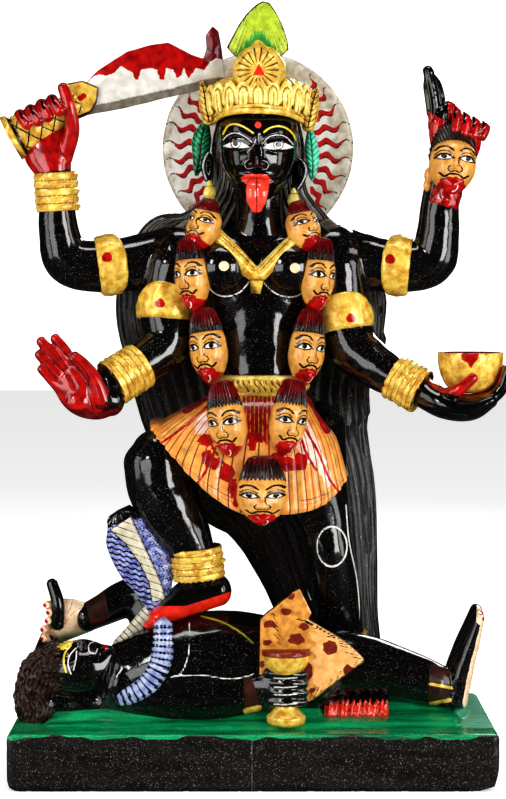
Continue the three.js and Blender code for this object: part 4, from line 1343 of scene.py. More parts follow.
def bangles(start, end, radius, rings):
    """A stack of bangles carved in one with their wrist, with twisted wires between plain rings."""
    rows = [
        [share, radius - 1.4 + 1.4 * abs(math.sin(rings * math.pi * share))]
        for share in np.linspace(0, 1, 14 * rings)
    ]
    mesh = turned(start, end, rows, 240)
    spots = spots_of(mesh)
    stack = rings * share_between(mesh, start, end)
    turn = np.arctan2(spots[:, 0] - start[0], spots[:, 1] - start[1])
    twist = 0.5 * np.cos(26 * turn + 9 * stack)
    swelled(mesh, np.floor(stack) % 2 * twist + 0.35 * ripple(spots, 14))
    stack = rings * share_between(mesh, start, end)
    return lay(mesh, "dark", 7.2 * (0.22 - np.abs(np.sin(math.pi * stack))) - 0.6)


# The cut lines of the necklace's two sides
NECKLACE_LINES = [
    [(206, 224), (226, 240), (245, 258), (254, 268)], [(304, 226), (289, 240), (271, 259), (260, 271)]
]


def necklace():
    """The collar that meets in a point between the breasts, with its drop."""
    forms = [egg([3, -45, 434], [6.4, 7, 9.5]), egg([3, -45, 446], [8, 7, 6])]
    for side in (-1, 1):
        forms.append(
            limb([
                [5 + side * 50, -20, 494, 8, 8], [5 + side * 27, -40, 473, 7.5, 7],
                [4 + side * 3, -47, 448, 7.5, 7],
            ])
        )
    mesh = carved(forms, FINE_GRAIN, 3)
    marks = marks_of(mesh)
    from_lines = np.minimum(*(off_line(marks, line) for line in NECKLACE_LINES))
    beads = np.cos((marks[:, 0] + marks[:, 1]) * 1.3) * bell(from_lines - 3, 1.6)
    ring = np.abs(marks[:, 1] - 280)
    drawn_near(mesh, -0.9 * bell(np.minimum(from_lines, ring), 0.9) + 0.5 * beads)
    # A pale gold line beside each cut line, above the drop, is a painted highlight
    lay(mesh, "light", 1.2 - np.abs(from_lines - 4.6), 276 - marks[:, 1])
    return lay(mesh, "dark", either(0.45 - from_lines, 0.5 - ring, 1.2 * (beads - 0.75)))


def belt():
    """The broad belt, carved with slanting leaves between two plain rims."""
    mesh = limb([[7, -3, 329, 48, 41], [7, -3, 338, 50, 43], [7, -3, 347, 47, 40]], 320, 64, 0.1, 0.1)
    spots = spots_of(mesh)
    turn = np.arctan2(spots[:, 0] - 7, -spots[:, 1] - 3)
    height = spots[:, 2] - 338
    from_rims = np.abs(height) - 8.5
    between = rise(7 - np.abs(height), 0, 1.5)
    leaves = np.cos(46 * turn + 0.5 * height + 0.8 * np.sin(0.5 * height))
    swelled(mesh, 0.8 * bell(from_rims, 1.6) + between * (0.6 * leaves - 0.6))
    # Pale gold on the raised rims is a painted highlight
    lay(mesh, "light", 1.6 - np.abs(from_rims))
    return lay(mesh, "dark", 1.3 * (-0.72 - leaves) + 0.4 * ripple(spots, 9), 5 * (between - 0.6))


# The skirt


# Red folds with their widths, the red front, the pale folds and how far the hem's rows lie from its edge
RED_FOLDS = [
    ([(214, 390), (200, 401), (186, 410)], 8), ([(210, 404), (188, 424), (161, 443)], 2.4),
    ([(214, 452), (204, 474), (193, 488)], 2.6), ([(226, 466), (219, 457), (212, 446)], 2.4),
    ([(305, 392), (316, 408), (327, 430)], 8), ([(300, 420), (318, 452), (330, 480), (339, 492)], 2.4),
    ([(286, 392), (296, 420), (306, 452), (316, 470)], 2.6),
]
RED_FRONT = [(242, 396), (275, 396), (270, 428), (268, 446), (261, 438), (254, 446), (248, 430)]
PALE_FOLDS = [
    [(299, 416), (309, 420), (322, 450), (334, 484), (327, 488), (314, 462), (303, 466), (298, 450)],
    [(193, 424), (206, 412), (210, 430), (204, 436), (196, 434)],
]
HEM_ROWS = (8.5, 18, 27)


def skirt():
    """The pleated skirt, a bell that rides up over the raised thigh."""
    pleats = 62
    mesh, around, way = sheet(744, 110)
    angle = around * math.tau
    across, deep = np.cos(angle), np.sin(angle)
    # Rings from the belt over the hem and back inside: middle, half width, half depth, height at the
    # front, and how much higher the two sides and the back are
    rings = np.array([
        [7, -2, 0, 0, 334, 0, 0, 0], [7, -3, 44, 37, 330, 0, 0, 0], [4, -6, 60, 54, 312, 9, -1, 10],
        [-1, -9, 82, 68, 278, 28, 10, 20], [-4, -12, 94, 75, 240, 58, 17, 36],
        [-4, -12, 96, 78, 218, 83, 32, 52], [-4, -12, 86, 66, 226, 77, 28, 48], [6, -6, 0, 0, 290, 0, 0, 0],
    ])
    x, y, width, depth, height, left, right, back = (smooth_values(column, way) for column in rings.T)
    rides_up = np.where(across < 0, left * np.abs(across) ** 1.3, right * across**4)
    lift = rides_up + np.where(deep > 0, back * deep**2, 0)
    spread = rise(way, 0.16, 0.7)
    pleat = np.abs(np.sin(pleats * angle / 2)) * (1 - rise(way, 0.74, 0.8))
    fold = 1 + (0.004 + 0.012 * spread) * pleat + 0.008 * np.cos(26 * angle) * spread
    forward = np.where(deep < 0, 1 + 0.12 * np.maximum(0, -across), 1)
    out_x = np.sign(across) * np.abs(across) ** 0.85 * width * fold
    out_y = np.sign(deep) * np.abs(deep) ** 0.5 * depth * fold * forward
    move_to(mesh, at(np.stack([x + out_x, y + out_y, height + lift], 1)))
    return sewn(skirt_paint(mesh, angle, way, pleat))


# Middles and half sizes of the drops of blood
BLOOD_ON_SKIRT = [
    ((206, 440), (8, 6.5)), ((207.5, 458), (6, 8)), ((216, 464), (7, 6)), ((227, 473), (8, 9)),
    ((233, 488), (5, 10)), ((236, 500), (3, 7)), ((288, 464), (13, 7)), ((300, 462), (8, 9)),
    ((276, 461), (9, 8)), ((256, 438), (10, 5)), ((252, 446), (4, 5)),
]


def skirt_paint(mesh, angle, way, pleat):
    """Blood in the folds and on the front, pale folds, cut pleats and rows along the hem."""
    marks, spots = marks_of(mesh), spots_of(mesh)
    before = -spots[:, 1] - 10
    lay(mesh, "light", 1.6 * np.sin(17 * angle + 2) + 1.4 * ripple(spots, 24) - 0.5)
    blood = ovals(marks, BLOOD_ON_SKIRT) + 1.3 * ripple(spots, 8)
    folds = brushed(marks, RED_FOLDS) + 0.5 * ripple(spots, 7)
    front = both(patch(marks, RED_FRONT), 1.2 + 1.6 * np.sin(marks[:, 0] * 1.5) + 0.5 * ripple(spots, 9))
    behind = both((spots[:, 2] - 318 + 6 * ripple(spots, 22)) / 3, -before)
    lay(mesh, "red", either(both(either(blood, folds, front), before), behind))
    lay(mesh, "blush", patches(marks, PALE_FOLDS) / 2 + ripple(spots, 12), before)
    lay(mesh, "pleat", np.where(way < 0.75, 0.85 - 4.2 * pleat, -1))
    drop = 310 * (0.714 - way)
    rows = np.minimum.reduce([np.abs(drop - row) for row in HEM_ROWS])
    broken = np.sin(3.1 * angle + 1) + np.sin(7.3 * angle) + 0.9
    return lay(mesh, "row", 0.8 - rows, 3 * broken)


# The garland


def small_relief(local):
    """The features of a garland face at places on its ball, standing out as shares of its half depth."""
    side, up = np.abs(local[:, 0]), local[:, 2]
    nose = 0.16 * bell(side, 0.12) * bell(up - 0.16, 0.24) + 0.18 * bell(side, 0.16) * bell(up + 0.08, 0.09)
    wings = 0.08 * bell(side - 0.2, 0.09) * bell(up + 0.1, 0.07)
    brows = 0.05 * bell(side - 0.45, 0.26) * bell(up - 0.6, 0.06)
    sockets = -0.08 * bell(side - 0.42, 0.22) * bell(up - 0.3, 0.16)
    eyes = 0.09 * bell(side - 0.48, 0.18) * bell(up - 0.3, 0.08)
    mouth = 0.2 * bell(side, 0.42) * bell(up + 0.72, 0.2) - 0.07 * bell(side, 0.4) * bell(up + 0.46, 0.06)
    lids = 0.03 * bell(side - 0.5, 0.3) * bell(up - 0.45, 0.03)
    cheeks = 0.04 * bell(side - 0.6, 0.22) * bell(up + 0.1, 0.22)
    return nose + wings + brows + sockets + eyes + mouth + lids + cheeks


def featured(place, size, turn, sides, rows, **plainness):
    """A head with a small face's features, and its places on a ball that faces -Y."""
    mesh, local = skull(place, size, turn, sides, rows, **plainness)
    height = small_relief(local) * faceward(local) * size[1] * STEP
    return move_to(mesh, places_of(mesh) + turning(turn) @ FRONT * height[:, None]), local


def small_head(place, size, turn, fineness=128):
    """A severed head with its painted face."""
    mesh, local = featured(place, size, turn, fineness, fineness, jaw=0.34, brow=0.2)
    face = np.stack([17 * local[:, 0], 30 * local[:, 2]], 1)
    return lay_face(mesh, face, 8 * (faceward(local) - 0.25))


# A small face's lines, on a grid about its middle that is 34 wide and 60 high
SMALL_MOUTH = (0, -21)
SMALL_EYE = [(3, 7.6), (5.8, 10), (9.8, 10.2), (13.4, 7), (9.8, 6), (6, 6.2)]
SMALL_PUPIL = (8.6, 8.4)
SMALL_NOSE = [(2, 8), (1.8, 3), (2.8, 0)]


# Brow, crease, upper and lower lid, nostril and moustache, each with its width
SMALL_LINES = [
    ([(2.5, 15.5), (5.5, 18.5), (9.5, 18.5), (13.5, 14.5)], 1.7),
    ([(3, 11.5), (6, 14), (10, 14), (14, 10)], 0.9), ([(2, 7.4), (5.5, 10.8), (10, 11), (14.5, 6.6)], 1.8),
    ([(2, 7.4), (6, 5.8), (10, 5.4), (14.5, 6.6)], 1.1),
    ([(0.6, -5.6), (3.4, -6.4), (5.4, -4), (4.2, -0.8)], 1.1),
    ([(0.6, -8.4), (4, -9), (7.5, -11.4), (11, -8.4)], 1.9),
]


def lay_face(mesh, face, near):
    """Brows, lidded eyes, nose and moustache in black and white lines, and a bloody mouth."""
    mirrored = np.stack([np.abs(face[:, 0]), face[:, 1]], 1)
    pupils = dots(mirrored, [SMALL_PUPIL], 2.1)
    lines = either(brushed(mirrored, SMALL_LINES), pupils, stroke(face, SMALL_NOSE, 0.9))
    lay(mesh, "black", lines, near)
    lay(mesh, "white", patch(mirrored, SMALL_EYE), near)
    ragged = 0.5 * np.sin(face[:, 0] * 1.1) + 0.4 * np.sin(face[:, 1] * 1.3 + 1)
    lay(mesh, "red", oval(face, SMALL_MOUTH, (12.5, 10)) + ragged, near + 6)
    glint = 0.5 - np.abs(dots(face, [SMALL_MOUTH], 4.4))
    return lay(mesh, "glint", glint, near, face[:, 0], -19 - face[:, 1])


# Each head of the garland: middle, half sizes and turn, then how much blood its hair has, and the
# shares of its half height between which the hair stands
GARLAND = [
    ([-49, -34, 492], [17, 16, 23], (-12, 16, -32), 0.9, (0.72, 1.2)),
    ([-59, -42, 441], [17, 18, 30], (0, -6, -28), 0.5, (0.68, 1.36)),
    ([-43, -44, 370], [19, 18, 31], (0, -8, -22), 0.55, (0.68, 1.38)),
    ([-24, -78, 300], [19, 18, 30], (6, -10, -20), 0.55, (0.64, 1.4)),
    ([9, -94, 233], [25, 20, 27], (10, 0, 0), 0.1, (0.6, 1.38)),
    ([33, -78, 302], [18, 18, 30], (6, 10, 20), 0.55, (0.64, 1.4)),
    ([52, -44, 369], [18, 18, 31], (0, 8, 22), 0.55, (0.68, 1.38)),
    ([63, -42, 440], [16, 18, 30], (0, 8, 28), 0.5, (0.68, 1.36)),
    ([50, -34, 490], [17, 16, 23], (-12, -16, 32), 0.9, (0.72, 1.2)),
]


def tuft(place, size, turn, bloody, reach):
    """The combed hair on top of a garland head, with blood run down from the head above."""
    x, y, z = place
    lean = -math.sin(math.radians(turn[1])) * size[2]
    combed = 30
    stations = []
    for share, width in zip(np.linspace(*reach, 4), (0.95, 0.88, 0.76, 0.6)):
        width *= 0.92 if reach[0] < 0.7 else 0.7
        centre = [x - 0.95 * share * lean, y + 1 + 5 * (share - reach[0]), z + share * size[2]]
        stations.append([*centre, width * size[0], (width + 0.06) * size[1]])
    mesh = limb(stations, 180, 44, 0.15, 0.3, relief=lambda angle, share: 1 + 0.05 * np.cos(combed * angle))
    spots = spots_of(mesh)
    share = ((spots[:, 2] - z) / size[2] - reach[0]) / (reach[1] - reach[0])
    angle = np.arctan2(spots[:, 1] - y - 3, spots[:, 0] - x + 0.9 * lean)
    lay(mesh, "strand", 1.4 * np.cos(combed * angle) - 0.7)
    ragged = 0.14 * np.sin(spots[:, 0] * 1.3) + 0.08 * np.sin(spots[:, 0] * 2.9)
    return lay(mesh, "red", 16 * (share - 1 + bloody + ragged))


# Sword, severed head and bowl

# The blade's outline on the grid, then its blood, the line of its cutting edge and its dark hook
BLADE = [
    [-172, 632], [-153, 650], [-125, 668], [-100, 675], [-84, 677], [-60, 665], [-49, 661], [-46, 670],
    [-47, 684], [-40, 693], [-34, 688], [-30, 664], [-27, 638], [-58, 629], [-85, 623], [-125, 613],
    [-158, 607], [-172, 604],
]
BLOOD_ON_BLADE = [
    (90, 78), (99, 74), (107, 76), (115, 72), (121, 66), (127, 70), (132, 72), (135, 79), (138, 80),
    (141, 70), (150, 68), (157, 70), (160, 79), (164, 80), (166, 68), (173, 70), (177, 78), (181, 76),
    (184, 68), (188, 78), (192, 74), (196, 68), (204, 70), (210, 62), (216, 58), (228, 58), (226, 24),
    (204, 26), (198, 54), (168, 40), (120, 50), (88, 66),
]
LOWER_EDGE = [(90, 115), (130, 105), (168, 96.5), (200, 89), (222, 84)]
DARK_HOOK = [(203, 66), (204, 24), (230, 24), (229, 60), (216, 58)]


def blade():
    """The broad blade, thick along its middle, with blood along its back and a dark hooked point."""
    mesh = carved([plate(BLADE, -8, BLADE_THICKNESS * 0.92)], FINE_GRAIN, 4)
    places, spots, marks = places_of(mesh), spots_of(mesh), marks_of(mesh)
    middle = at([0, -8, 0])[1]
    thick = 0.35 + 0.65 * rise(patch(spots[:, [0, 2]], BLADE), -1, 13)
    places[:, 1] = middle + (places[:, 1] - middle) * thick
    rippled(move_to(mesh, places), 0.2, 24)
    lay(mesh, "red", patch(marks, BLOOD_ON_BLADE) + 0.6 * ripple(spots, 7))
    lay(mesh, "dark_red", patch(marks, DARK_HOOK))
    # A grey band along the lower edge is painted shade
    return lay(mesh, "grey", (7.5 - off_line(marks, LOWER_EDGE)) / 3 + 0.3 * ripple(spots, 30))


# The collar's outline on the grid, and the line of its painted eye
COLLAR = [[-184, 600], [-184, 636], [-168, 639], [-152, 632], [-154, 618], [-160, 608], [-175, 602]]
COLLAR_EYE = [(80.5, 98), (83.5, 96)]


def sword_collar():
    """The gold collar at the root of the blade, with a painted eye."""
    mesh = carved([plate(COLLAR, -8, BLADE_THICKNESS + 9 * STEP)], FINE_GRAIN, 6)
    spots = spots_of(mesh)
    lay(mesh, "dark", 1.5 - patch(spots[:, [0, 2]], COLLAR))
    return lay(mesh, "red", 3 - off_line(marks_of(mesh), COLLAR_EYE), -8 - spots[:, 1])


# Shares of the hilt's length and its radius there, from the pommel to the blade
HILT = [
    [0, 20], [0.015, 24], [0.1, 25], [0.13, 21], [0.17, 19.5], [0.3, 19.5], [0.55, 17], [0.8, 13], [1, 13]
]


def sword_hilt():
    """The grip with its lattice of cut lines and the flared pommel."""
    start, end = np.array([-243, -13, 580]), np.array([-172, -10, 618])
    mesh = turned(start, end, filled(HILT, 110), 200)
    share = share_between(mesh, start, end)
    cross = spots_of(mesh) - start - share[:, None] * (end - start)
    turn = np.arctan2(cross[:, 1], cross @ [-0.5, 0, 0.87])
    lattice = np.minimum(np.abs(np.sin(2.5 * turn + 17 * share)), np.abs(np.sin(2.5 * turn - 17 * share)))
    rim = 25 * np.abs(share - 0.145)
    swelled(mesh, np.where(share > 0.17, -0.8 * bell(lattice, 0.14), 0) - 0.8 * bell(rim, 0.4))
    return lay(mesh, "black", either(both(5 * (0.17 - lattice), 60 * (share - 0.17)), 0.6 - rim))


def severed_head():
    return small_head([195, -36, 552], [23, 22, 29], (-4, 6, 4), 180)


def severed_hair():
    """The combed hair that the head hangs by."""
    hair_line = [[196, -30, 563, 23.5, 22], [197, -28, 574, 22, 19], [200, -26, 587, 19, 14]]
    mesh = limb(hair_line, 240, 72, end=0.6)
    spots = spots_of(mesh)
    return swelled(mesh, 0.6 * np.cos((spots[:, 0] + 0.35 * spots[:, 2]) * 1.9))


def severed_neck():
    """The bloody stump under the severed head."""
    mesh = turned(
        [192, -34, 534], [187, -32, 516], [[share, 14 + share] for share in np.linspace(0, 1, 24)], 128
    )
    spots = spots_of(rippled(mesh, 0.7, 9))
    return lay(mesh, "dark", 2 * np.sin(spots[:, 0] * 0.9 + spots[:, 2] * 0.3) - 1)


def severed_ear():
    return carved([egg([173, -30, 545], [5, 5, 8]), egg([171, -31, 535], [4, 4, 6])], FINE_GRAIN, 3)


# The outline of the blood that runs over the bowl's rim
BOWL_DRIP = [
    (461, 355), (463, 352), (479, 352.5), (478.5, 359), (474, 363), (471, 369), (467, 362), (461.5, 360)
]


def bowl():
    """The bowl that catches the blood, hollow, with its rim worn thin."""
    x, y, z = BOWL_BASE
    high = BOWL_HEIGHT / STEP

    def side(radius, low, shares):
        out = radius / STEP * np.sin(shares * np.pi / 2) ** 0.7
        return list(zip((low + (high - low) * shares**2) / high, out))

    outside = side(BOWL_RADIUS, 0, np.linspace(0.02, 1, 50))
    inside = side(BOWL_RADIUS - BOWL_WALL, (BOWL_HEIGHT - BOWL_HOLLOW) / STEP, np.linspace(1, 0.02, 40))
    mesh = rippled(turned([x, y, z], [x, y, z + high], outside + inside, 160), 0.2, 17)
    spots = spots_of(mesh)
    reach = np.hypot(spots[:, 0] - x, spots[:, 1] - y)
    up = spots[:, 2] - z
    wall = np.interp(up / high, *zip(*side(BOWL_RADIUS - BOWL_WALL / 2, 0, np.linspace(0.02, 1, 60))))
    lay(mesh, "dark_red", wall - reach - 0.5, up - 4)
    return lay(mesh, "red", patch(marks_of(mesh), BOWL_DRIP), -spots[:, 1] + y)


# Shiva


def shiva_foot(x, y):
    """A foot that stands on its heel with its toes up."""
    stations = [[x, y, 28, 13, 18], [x + 6, y, 58, 12, 18], [x + 16, y, 90, 9, 18], [x + 23, y, 112, 6, 16]]
    return limb(stations, 48, 48)


# Outlines painted on Shiva: the brown bands round his waist and wrist, the soles, the toes and their
# nails, then the lines of gold with their widths, his thread and the white lines of his trunk
SHIVA_BAND = [(428, 700), (430, 664), (451, 668), (448, 716), (426, 716)]
WRIST_BAND = [(243, 676), (256, 674), (260, 716), (246, 716)]
SOLE = [
    (464, 716), (468, 700), (477, 670), (483, 640), (487, 604), (494, 604), (494, 640), (482, 690),
    (470, 718),
]
TOES = [(477, 604), (492, 604), (492, 626), (484, 628), (476, 622)]
TOE_NAILS = [(481, 613), (484, 619)]
THREAD = [(201, 616), (222, 622), (240, 632), (253, 643)]
# The white lines of the trunk are painted highlights along its edges
SHIVA_LINES = [
    [(189, 623), (190, 636), (187, 660), (180, 674), (170, 677)],
    [(170, 677), (200, 675), (232, 679), (262, 672)],
]
GOLD_LINES = [([(431, 704), (450, 700)], 4), ([(246, 711), (259, 708)], 6), ([(430, 684), (452, 688)], 3)]


def shiva_body():
    """Shiva's trunk, his legs with both feet upright, and his near arm along the plinth's front edge."""
    forms = [
        limb([
            [-122, -44, 52, 36, 42], [-90, -42, 58, 48, 50], [-50, -40, 60, 55, 51], [-8, -38, 60, 54, 48],
            [30, -34, 56, 48, 46], [62, -32, 50, 42, 44],
        ], 80, 90),
        limb([
            [50, -38, 58, 42, 34], [100, -36, 60, 34, 29], [142, -36, 53, 27, 25], [182, -40, 42, 21, 20]
        ], 64, 64),
        limb([
            [44, -4, 52, 40, 30], [100, 0, 52, 33, 28], [142, 0, 46, 26, 24], [180, -2, 38, 20, 19]
        ], 64, 64),
        shiva_foot(200, -41),
        shiva_foot(202, -3),
        limb([
            [-124, -56, 46, 32, 32], [-92, -66, 38, 27, 24], [-50, -74, 36, 23, 19], [-6, -76, 41, 21, 17],
            [20, -78, 48, 19, 14],
        ], 64, 64),
        limb([[-146, -46, 54, 22, 26], [-112, -44, 58, 32, 36]]),
        limb([[-196, -42, 24, 20, 26], [-150, -42, 26, 22, 30], [-116, -44, 34, 30, 34]]),
    ]
    mesh = hand_worked(carved(forms, BODY_GRAIN, 4))
    spots, marks = spots_of(mesh), marks_of(mesh)
    right, near = spots[:, 0], -spots[:, 1]
    faces_right = normals_of(mesh)[:, 0]
    waist, wrist = both(patch(marks, SHIVA_BAND), near - 20), both(patch(marks, WRIST_BAND), near - 52)
    lay(mesh, "brown", either(waist, wrist))
    lay(mesh, "gold", brushed(marks, GOLD_LINES), near - 20)
    lay(mesh, "cream", either(patch(marks, SOLE), 8 * (faces_right - 0.6)), right - 196)
    lay(mesh, "pink", patch(marks, TOES), right - 200)
    lay(mesh, "red", dots(marks, TOE_NAILS, 2.1), right - 200)
    lay(mesh, "yellow", stroke(marks, THREAD, 2), near - 24)
    # White lines along the trunk: painted highlights
    return lay(mesh, "white", strokes(marks, SHIVA_LINES, 1.4), near - 40)


# The rows of the white lines along the near hand's fingers
NAIL_ROWS = [678, 687, 694.5, 704]


def shiva_hand():
    """The near fist round the drum's waist, with white lines along its fingers."""
    forms = [limb([[2, -78, 46, 18, 13], [18, -84, 47, 20, 13], [30, -84, 46, 20, 14]])]
    for height in (63, 54, 45, 36):
        forms.append(finger([[14, -90, height], [33, -98, height], [50, -92, height - 1]], 5.6))
    mesh = carved(forms, FINE_GRAIN, 2)
    lines = [[(274, row), (285, row + 0.6), (297, row - 0.5)] for row in NAIL_ROWS]
    return lay(mesh, "white", strokes(marks_of(mesh), lines, 1.3))


# The outline of the brown band at the far wrist
FAR_WRIST = [(84, 596), (104, 588), (110, 620), (92, 632)]


def raised_arm():
    """The far arm, bent up behind Shiva's head, with a brown band at the wrist."""
    arm = [
        [-92, -14, 92, 24], [-110, 0, 124, 21], [-130, 0, 121, 19], [-150, -6, 112, 16],
        [-168, -11, 104, 14],
    ]
    forms = [
        limb(arm, 48, 60),
        limb([[-112, 0, 122, 20, 18], [-96, -14, 92, 24, 22]]),
        finger([[-206, -16, 86], [-213, -26, 68], [-210, -36, 50]], 7),
    ]
    mesh = carved(forms, ARM_GRAIN, 3)
    return lay(mesh, "brown", patch(marks_of(mesh), FAR_WRIST))


# Nails and creases of the far palm
PALM_NAILS = [(46, 605), (49, 612.5), (47.5, 621), (43, 629.5), (43, 638.5)]
PALM_LINES = [
    [(66, 600), (67, 608), (64, 616)], [(73, 599), (71, 607), (67, 615)],
    [(83, 607), (74, 612), (66, 622), (59, 632)], [(56, 628), (52, 632), (47, 634)],
]


def raised_hand():
    """The far hand's pale palm with its curled fingers and red nails."""
    forms = [limb(marked([(86, 616, -11, 13, 8), (72, 618, -15, 20, 9), (56, 622, -16, 20, 8)]))]
    for x, y in PALM_NAILS:
        forms.append(finger(marked([(x + 16, y + 2, -12), (x + 5, y, -18), (x + 1, y, -26)]), 5))
    mesh = carved(forms, FINE_GRAIN, 2)
    marks = marks_of(mesh)
    nails_and_highlights = dots(marks, np.add(PALM_NAILS, (-1.5, 0.5)), 2.2)
    rings = 0.3 - np.abs(dots(marks, PALM_NAILS, 4))
    return lay(mesh, "red", either(nails_and_highlights, rings, strokes(marks, PALM_LINES, 0.7)))


def raised_finger():
    return carved([finger(marked([(57, 625, -24), (58, 604, -25), (52, 583, -20)]), 7.5)], FINE_GRAIN, 1)


# Outlines and lines of Shiva's painted face
SHIVA_FOREHEAD = [
    (56, 644), (59, 641), (65, 640), (73, 639.5), (73, 643), (67, 646), (64, 650), (57, 649.5)
]
SHIVA_BROW = [(71, 645), (65.5, 652), (63.5, 661), (66, 672)]
SHIVA_LIDS = [[(76, 648), (70, 655), (68, 664), (71, 674)], [(76.5, 651), (76, 659), (73.5, 670)]]
SHIVA_NOSTRIL = [(96, 641), (90, 643.5), (88.5, 648), (90, 652), (95, 653.5), (97.5, 649)]
SHIVA_LIPS = [(101, 639), (105, 640), (109, 639.5), (108.5, 646), (105.5, 652), (103, 646)]


def shiva_face():
    """Shiva's head, lying face up, with closed eyes."""
    mesh, local = featured([-170, -50, 60], [29, 28, 44], (-65, -90, 0), 240, 200)
    marks = marks_of(mesh)
    near = 8 * (-normals_of(mesh)[:, 1] + 0.35)
    lay(mesh, "bright", either(patch(marks, SHIVA_FOREHEAD), stroke(marks, SHIVA_BROW, 1.9)), near)
    lines = either(strokes(marks, SHIVA_LIDS, 1.2), stroke(marks, SHIVA_NOSTRIL, 1.1))
    lay(mesh, "white", lines, near)
    return lay(mesh, "red", patch(marks, SHIVA_LIPS), near)


def shiva_hair():
    """The knot of hair, combed down from the crown to the plinth."""
    combed = 30

    def locks(angle, share):
        wave = combed * angle + 5 * np.sin(6 * share) + 2 * np.sin(13 * share)
        return 1 + 0.05 * np.cos(wave) + 0.04 * np.cos(9 * angle + 4 * share)

    knot = [
        [-190, -48, 61, 26, 29], [-205, -46, 51, 25, 28], [-213, -46, 34, 22, 26], [-210, -46, 14, 21, 26]
    ]
    mesh = limb(knot, 420, 120, relief=locks)
    spots = spots_of(mesh)
    swelled(mesh, 0.9 * ripple(spots, 7) + 0.9 * ripple(spots, 15))
    spots = spots_of(mesh)
    angle = np.arctan2(spots[:, 1] + 46, spots[:, 0] + 205)
    return lay(mesh, "strand", 3 * np.cos(combed * angle + 0.25 * spots[:, 2]) - 1.7)


# The cobra

# The two edges of the cobra's pale belly, and the lines of its eyes and mouth
BELLY_LEFT = [(110, 530), (125, 543), (140, 564), (149, 583), (152, 602)]
BELLY_RIGHT = [(131, 516), (140, 536), (148, 554), (155, 568.5), (162.5, 586), (166, 600)]
COBRA_EYES = [
    [(106.5, 523), (107.5, 519.5), (109.5, 518)], [(109, 524), (110.5, 521)], [(112.5, 523.5), (114, 519)],
    [(113.5, 517.5), (115.5, 518.5), (116, 522)],
]


# Column, row, depth, half width and half depth down the hood and along the tail
HOOD = [
    (121, 517, -58, 15, 11), (129, 531, -57, 25, 10), (138, 551, -55, 27, 9), (149, 573, -53, 25, 9),
    (155, 592, -52, 17, 10), (160, 612, -52, 10, 10),
]
TAIL = [(150, 612, -46, 8, 8), (135, 630, -40, 8, 8), (120, 646, -34, 8, 8)]


def cobra_hood():
    """The spread hood beside Kali's shin, with a ribbed pale belly."""
    mesh = limb(marked(HOOD), 220, 150)
    marks = marks_of(mesh)
    column, row = marks.T
    left, right = (off_line(marks, curve(side, 30)) for side in (BELLY_LEFT, BELLY_RIGHT))
    belly_strip = patch(marks, [*BELLY_LEFT, *BELLY_RIGHT[::-1]])
    spots, normals = spots_of(mesh), normals_of(mesh)
    ribs = np.abs(((row + 0.35 * (140 - column) - 520) / 7.2) % 1 - 0.5)
    grooves = 0.9 * bell(np.minimum(left, right), 1) + 0.5 * bell(0.5 - ribs, 0.08)
    drawn_near(mesh, 1.6 * rise(belly_strip, -1, 4) - grooves)
    front = -3 * normals[:, 1] - 0.4
    lay(mesh, "cream", belly_strip, front * 3)
    lines = either(14 * (ribs - 0.44), 0.5 - np.abs(belly_strip))
    lay(mesh, "black_line", lines, belly_strip + 0.8, front * 3)
    stripes = np.cos((row - 0.25 * column) * math.tau / 5.2 + 0.8 * np.sin(column * 0.8))
    scales = np.sin(column * 1.9 + 2 * np.sin(row * 0.9)) + np.sin(row * 2.3 + column * 0.7)
    striped, scaled = stripes + 0.25 * ripple(spots, 6), 0.8 * scales + ripple(spots, 9) - 0.2
    cap = 528 - 0.28 * (column - 102) - row
    lay(mesh, "pale", 0.9 * ripple(spots, 5) + 0.5 * ripple(spots, 12) - 0.1, -cap)
    lay(mesh, "black", either(np.where(left < right, striped, scaled) - 0.35, cap))
    return lay(mesh, "white", strokes(marks, COBRA_EYES, 0.5), front)


# The body over Shiva's throat: column, row, depth, half width and half depth
THROAT_BAND = [
    (163, 624, -82, 9, 7), (163, 645, -89, 10, 7), (160, 664, -92, 10.5, 7), (148, 684, -92, 10, 7),
    (127, 697, -88, 8, 7), (117, 701, -82, 4, 7),
]


def cobra_body():
    """The banded body that crosses Shiva's throat, and the tail behind it."""
    mesh = joined([limb(marked(THROAT_BAND), 96, 120), limb(marked(TAIL), 64, 60)])
    marks = marks_of(mesh)
    column, row = marks.T
    line = middle_of(THROAT_BAND, 60)
    runs = np.concatenate([[0], np.cumsum(np.linalg.norm(np.diff(line, axis=0), axis=1))])
    apart = np.linalg.norm(marks[:, None] - line[None], axis=2)
    along, off = runs[np.argmin(apart, axis=1)], apart.min(axis=1)
    bands = np.cos(along * math.tau / 6.4)
    swelled(mesh, 0.3 * bands)
    tail_bands = np.cos((row - column) * math.tau / 8)
    on_tail = (column < 152 - 0.9 * np.maximum(0, row - 618)) & (row < 650)
    wavering = bands + 0.5 * np.cos(off * 1.6) * (along < 40)
    lay(mesh, "black", np.where(on_tail, 3 * (-0.75 - tail_bands), 2.4 * (-0.2 - wavering)))
    return lay(mesh, "pale", np.where(on_tail, 5, -5))


# The leopard skin and the drum

# The skin's spots as middles and half sizes, and the outline of its flap
SKIN_SPOTS = [
    ((290, 596), (5, 3.5)), ((286, 611.5), (5.5, 3.5)), ((269.5, 624), (6.5, 4)), ((304, 627), (5, 3.5)),
    ((296.5, 639), (8, 5.5)), ((330, 647.5), (7.5, 7)), ((267, 642.5), (4.5, 3)), ((308, 671), (4.5, 9)),
    ((348, 669.5), (5, 4.5)), ((312, 690), (3, 3)), ((262, 664), (3, 4)),
]
FLAP = [
    (259.8, 619), (268, 611.5), (274.5, 607), (284, 599), (292, 592), (299.8, 588), (306, 600), (312, 613),
    (308, 619), (318, 624.5), (334, 634), (350, 645), (361, 655), (365, 660), (356, 667), (338, 680),
    (317, 696), (303, 705), (288, 704), (270, 694), (259, 676),
]


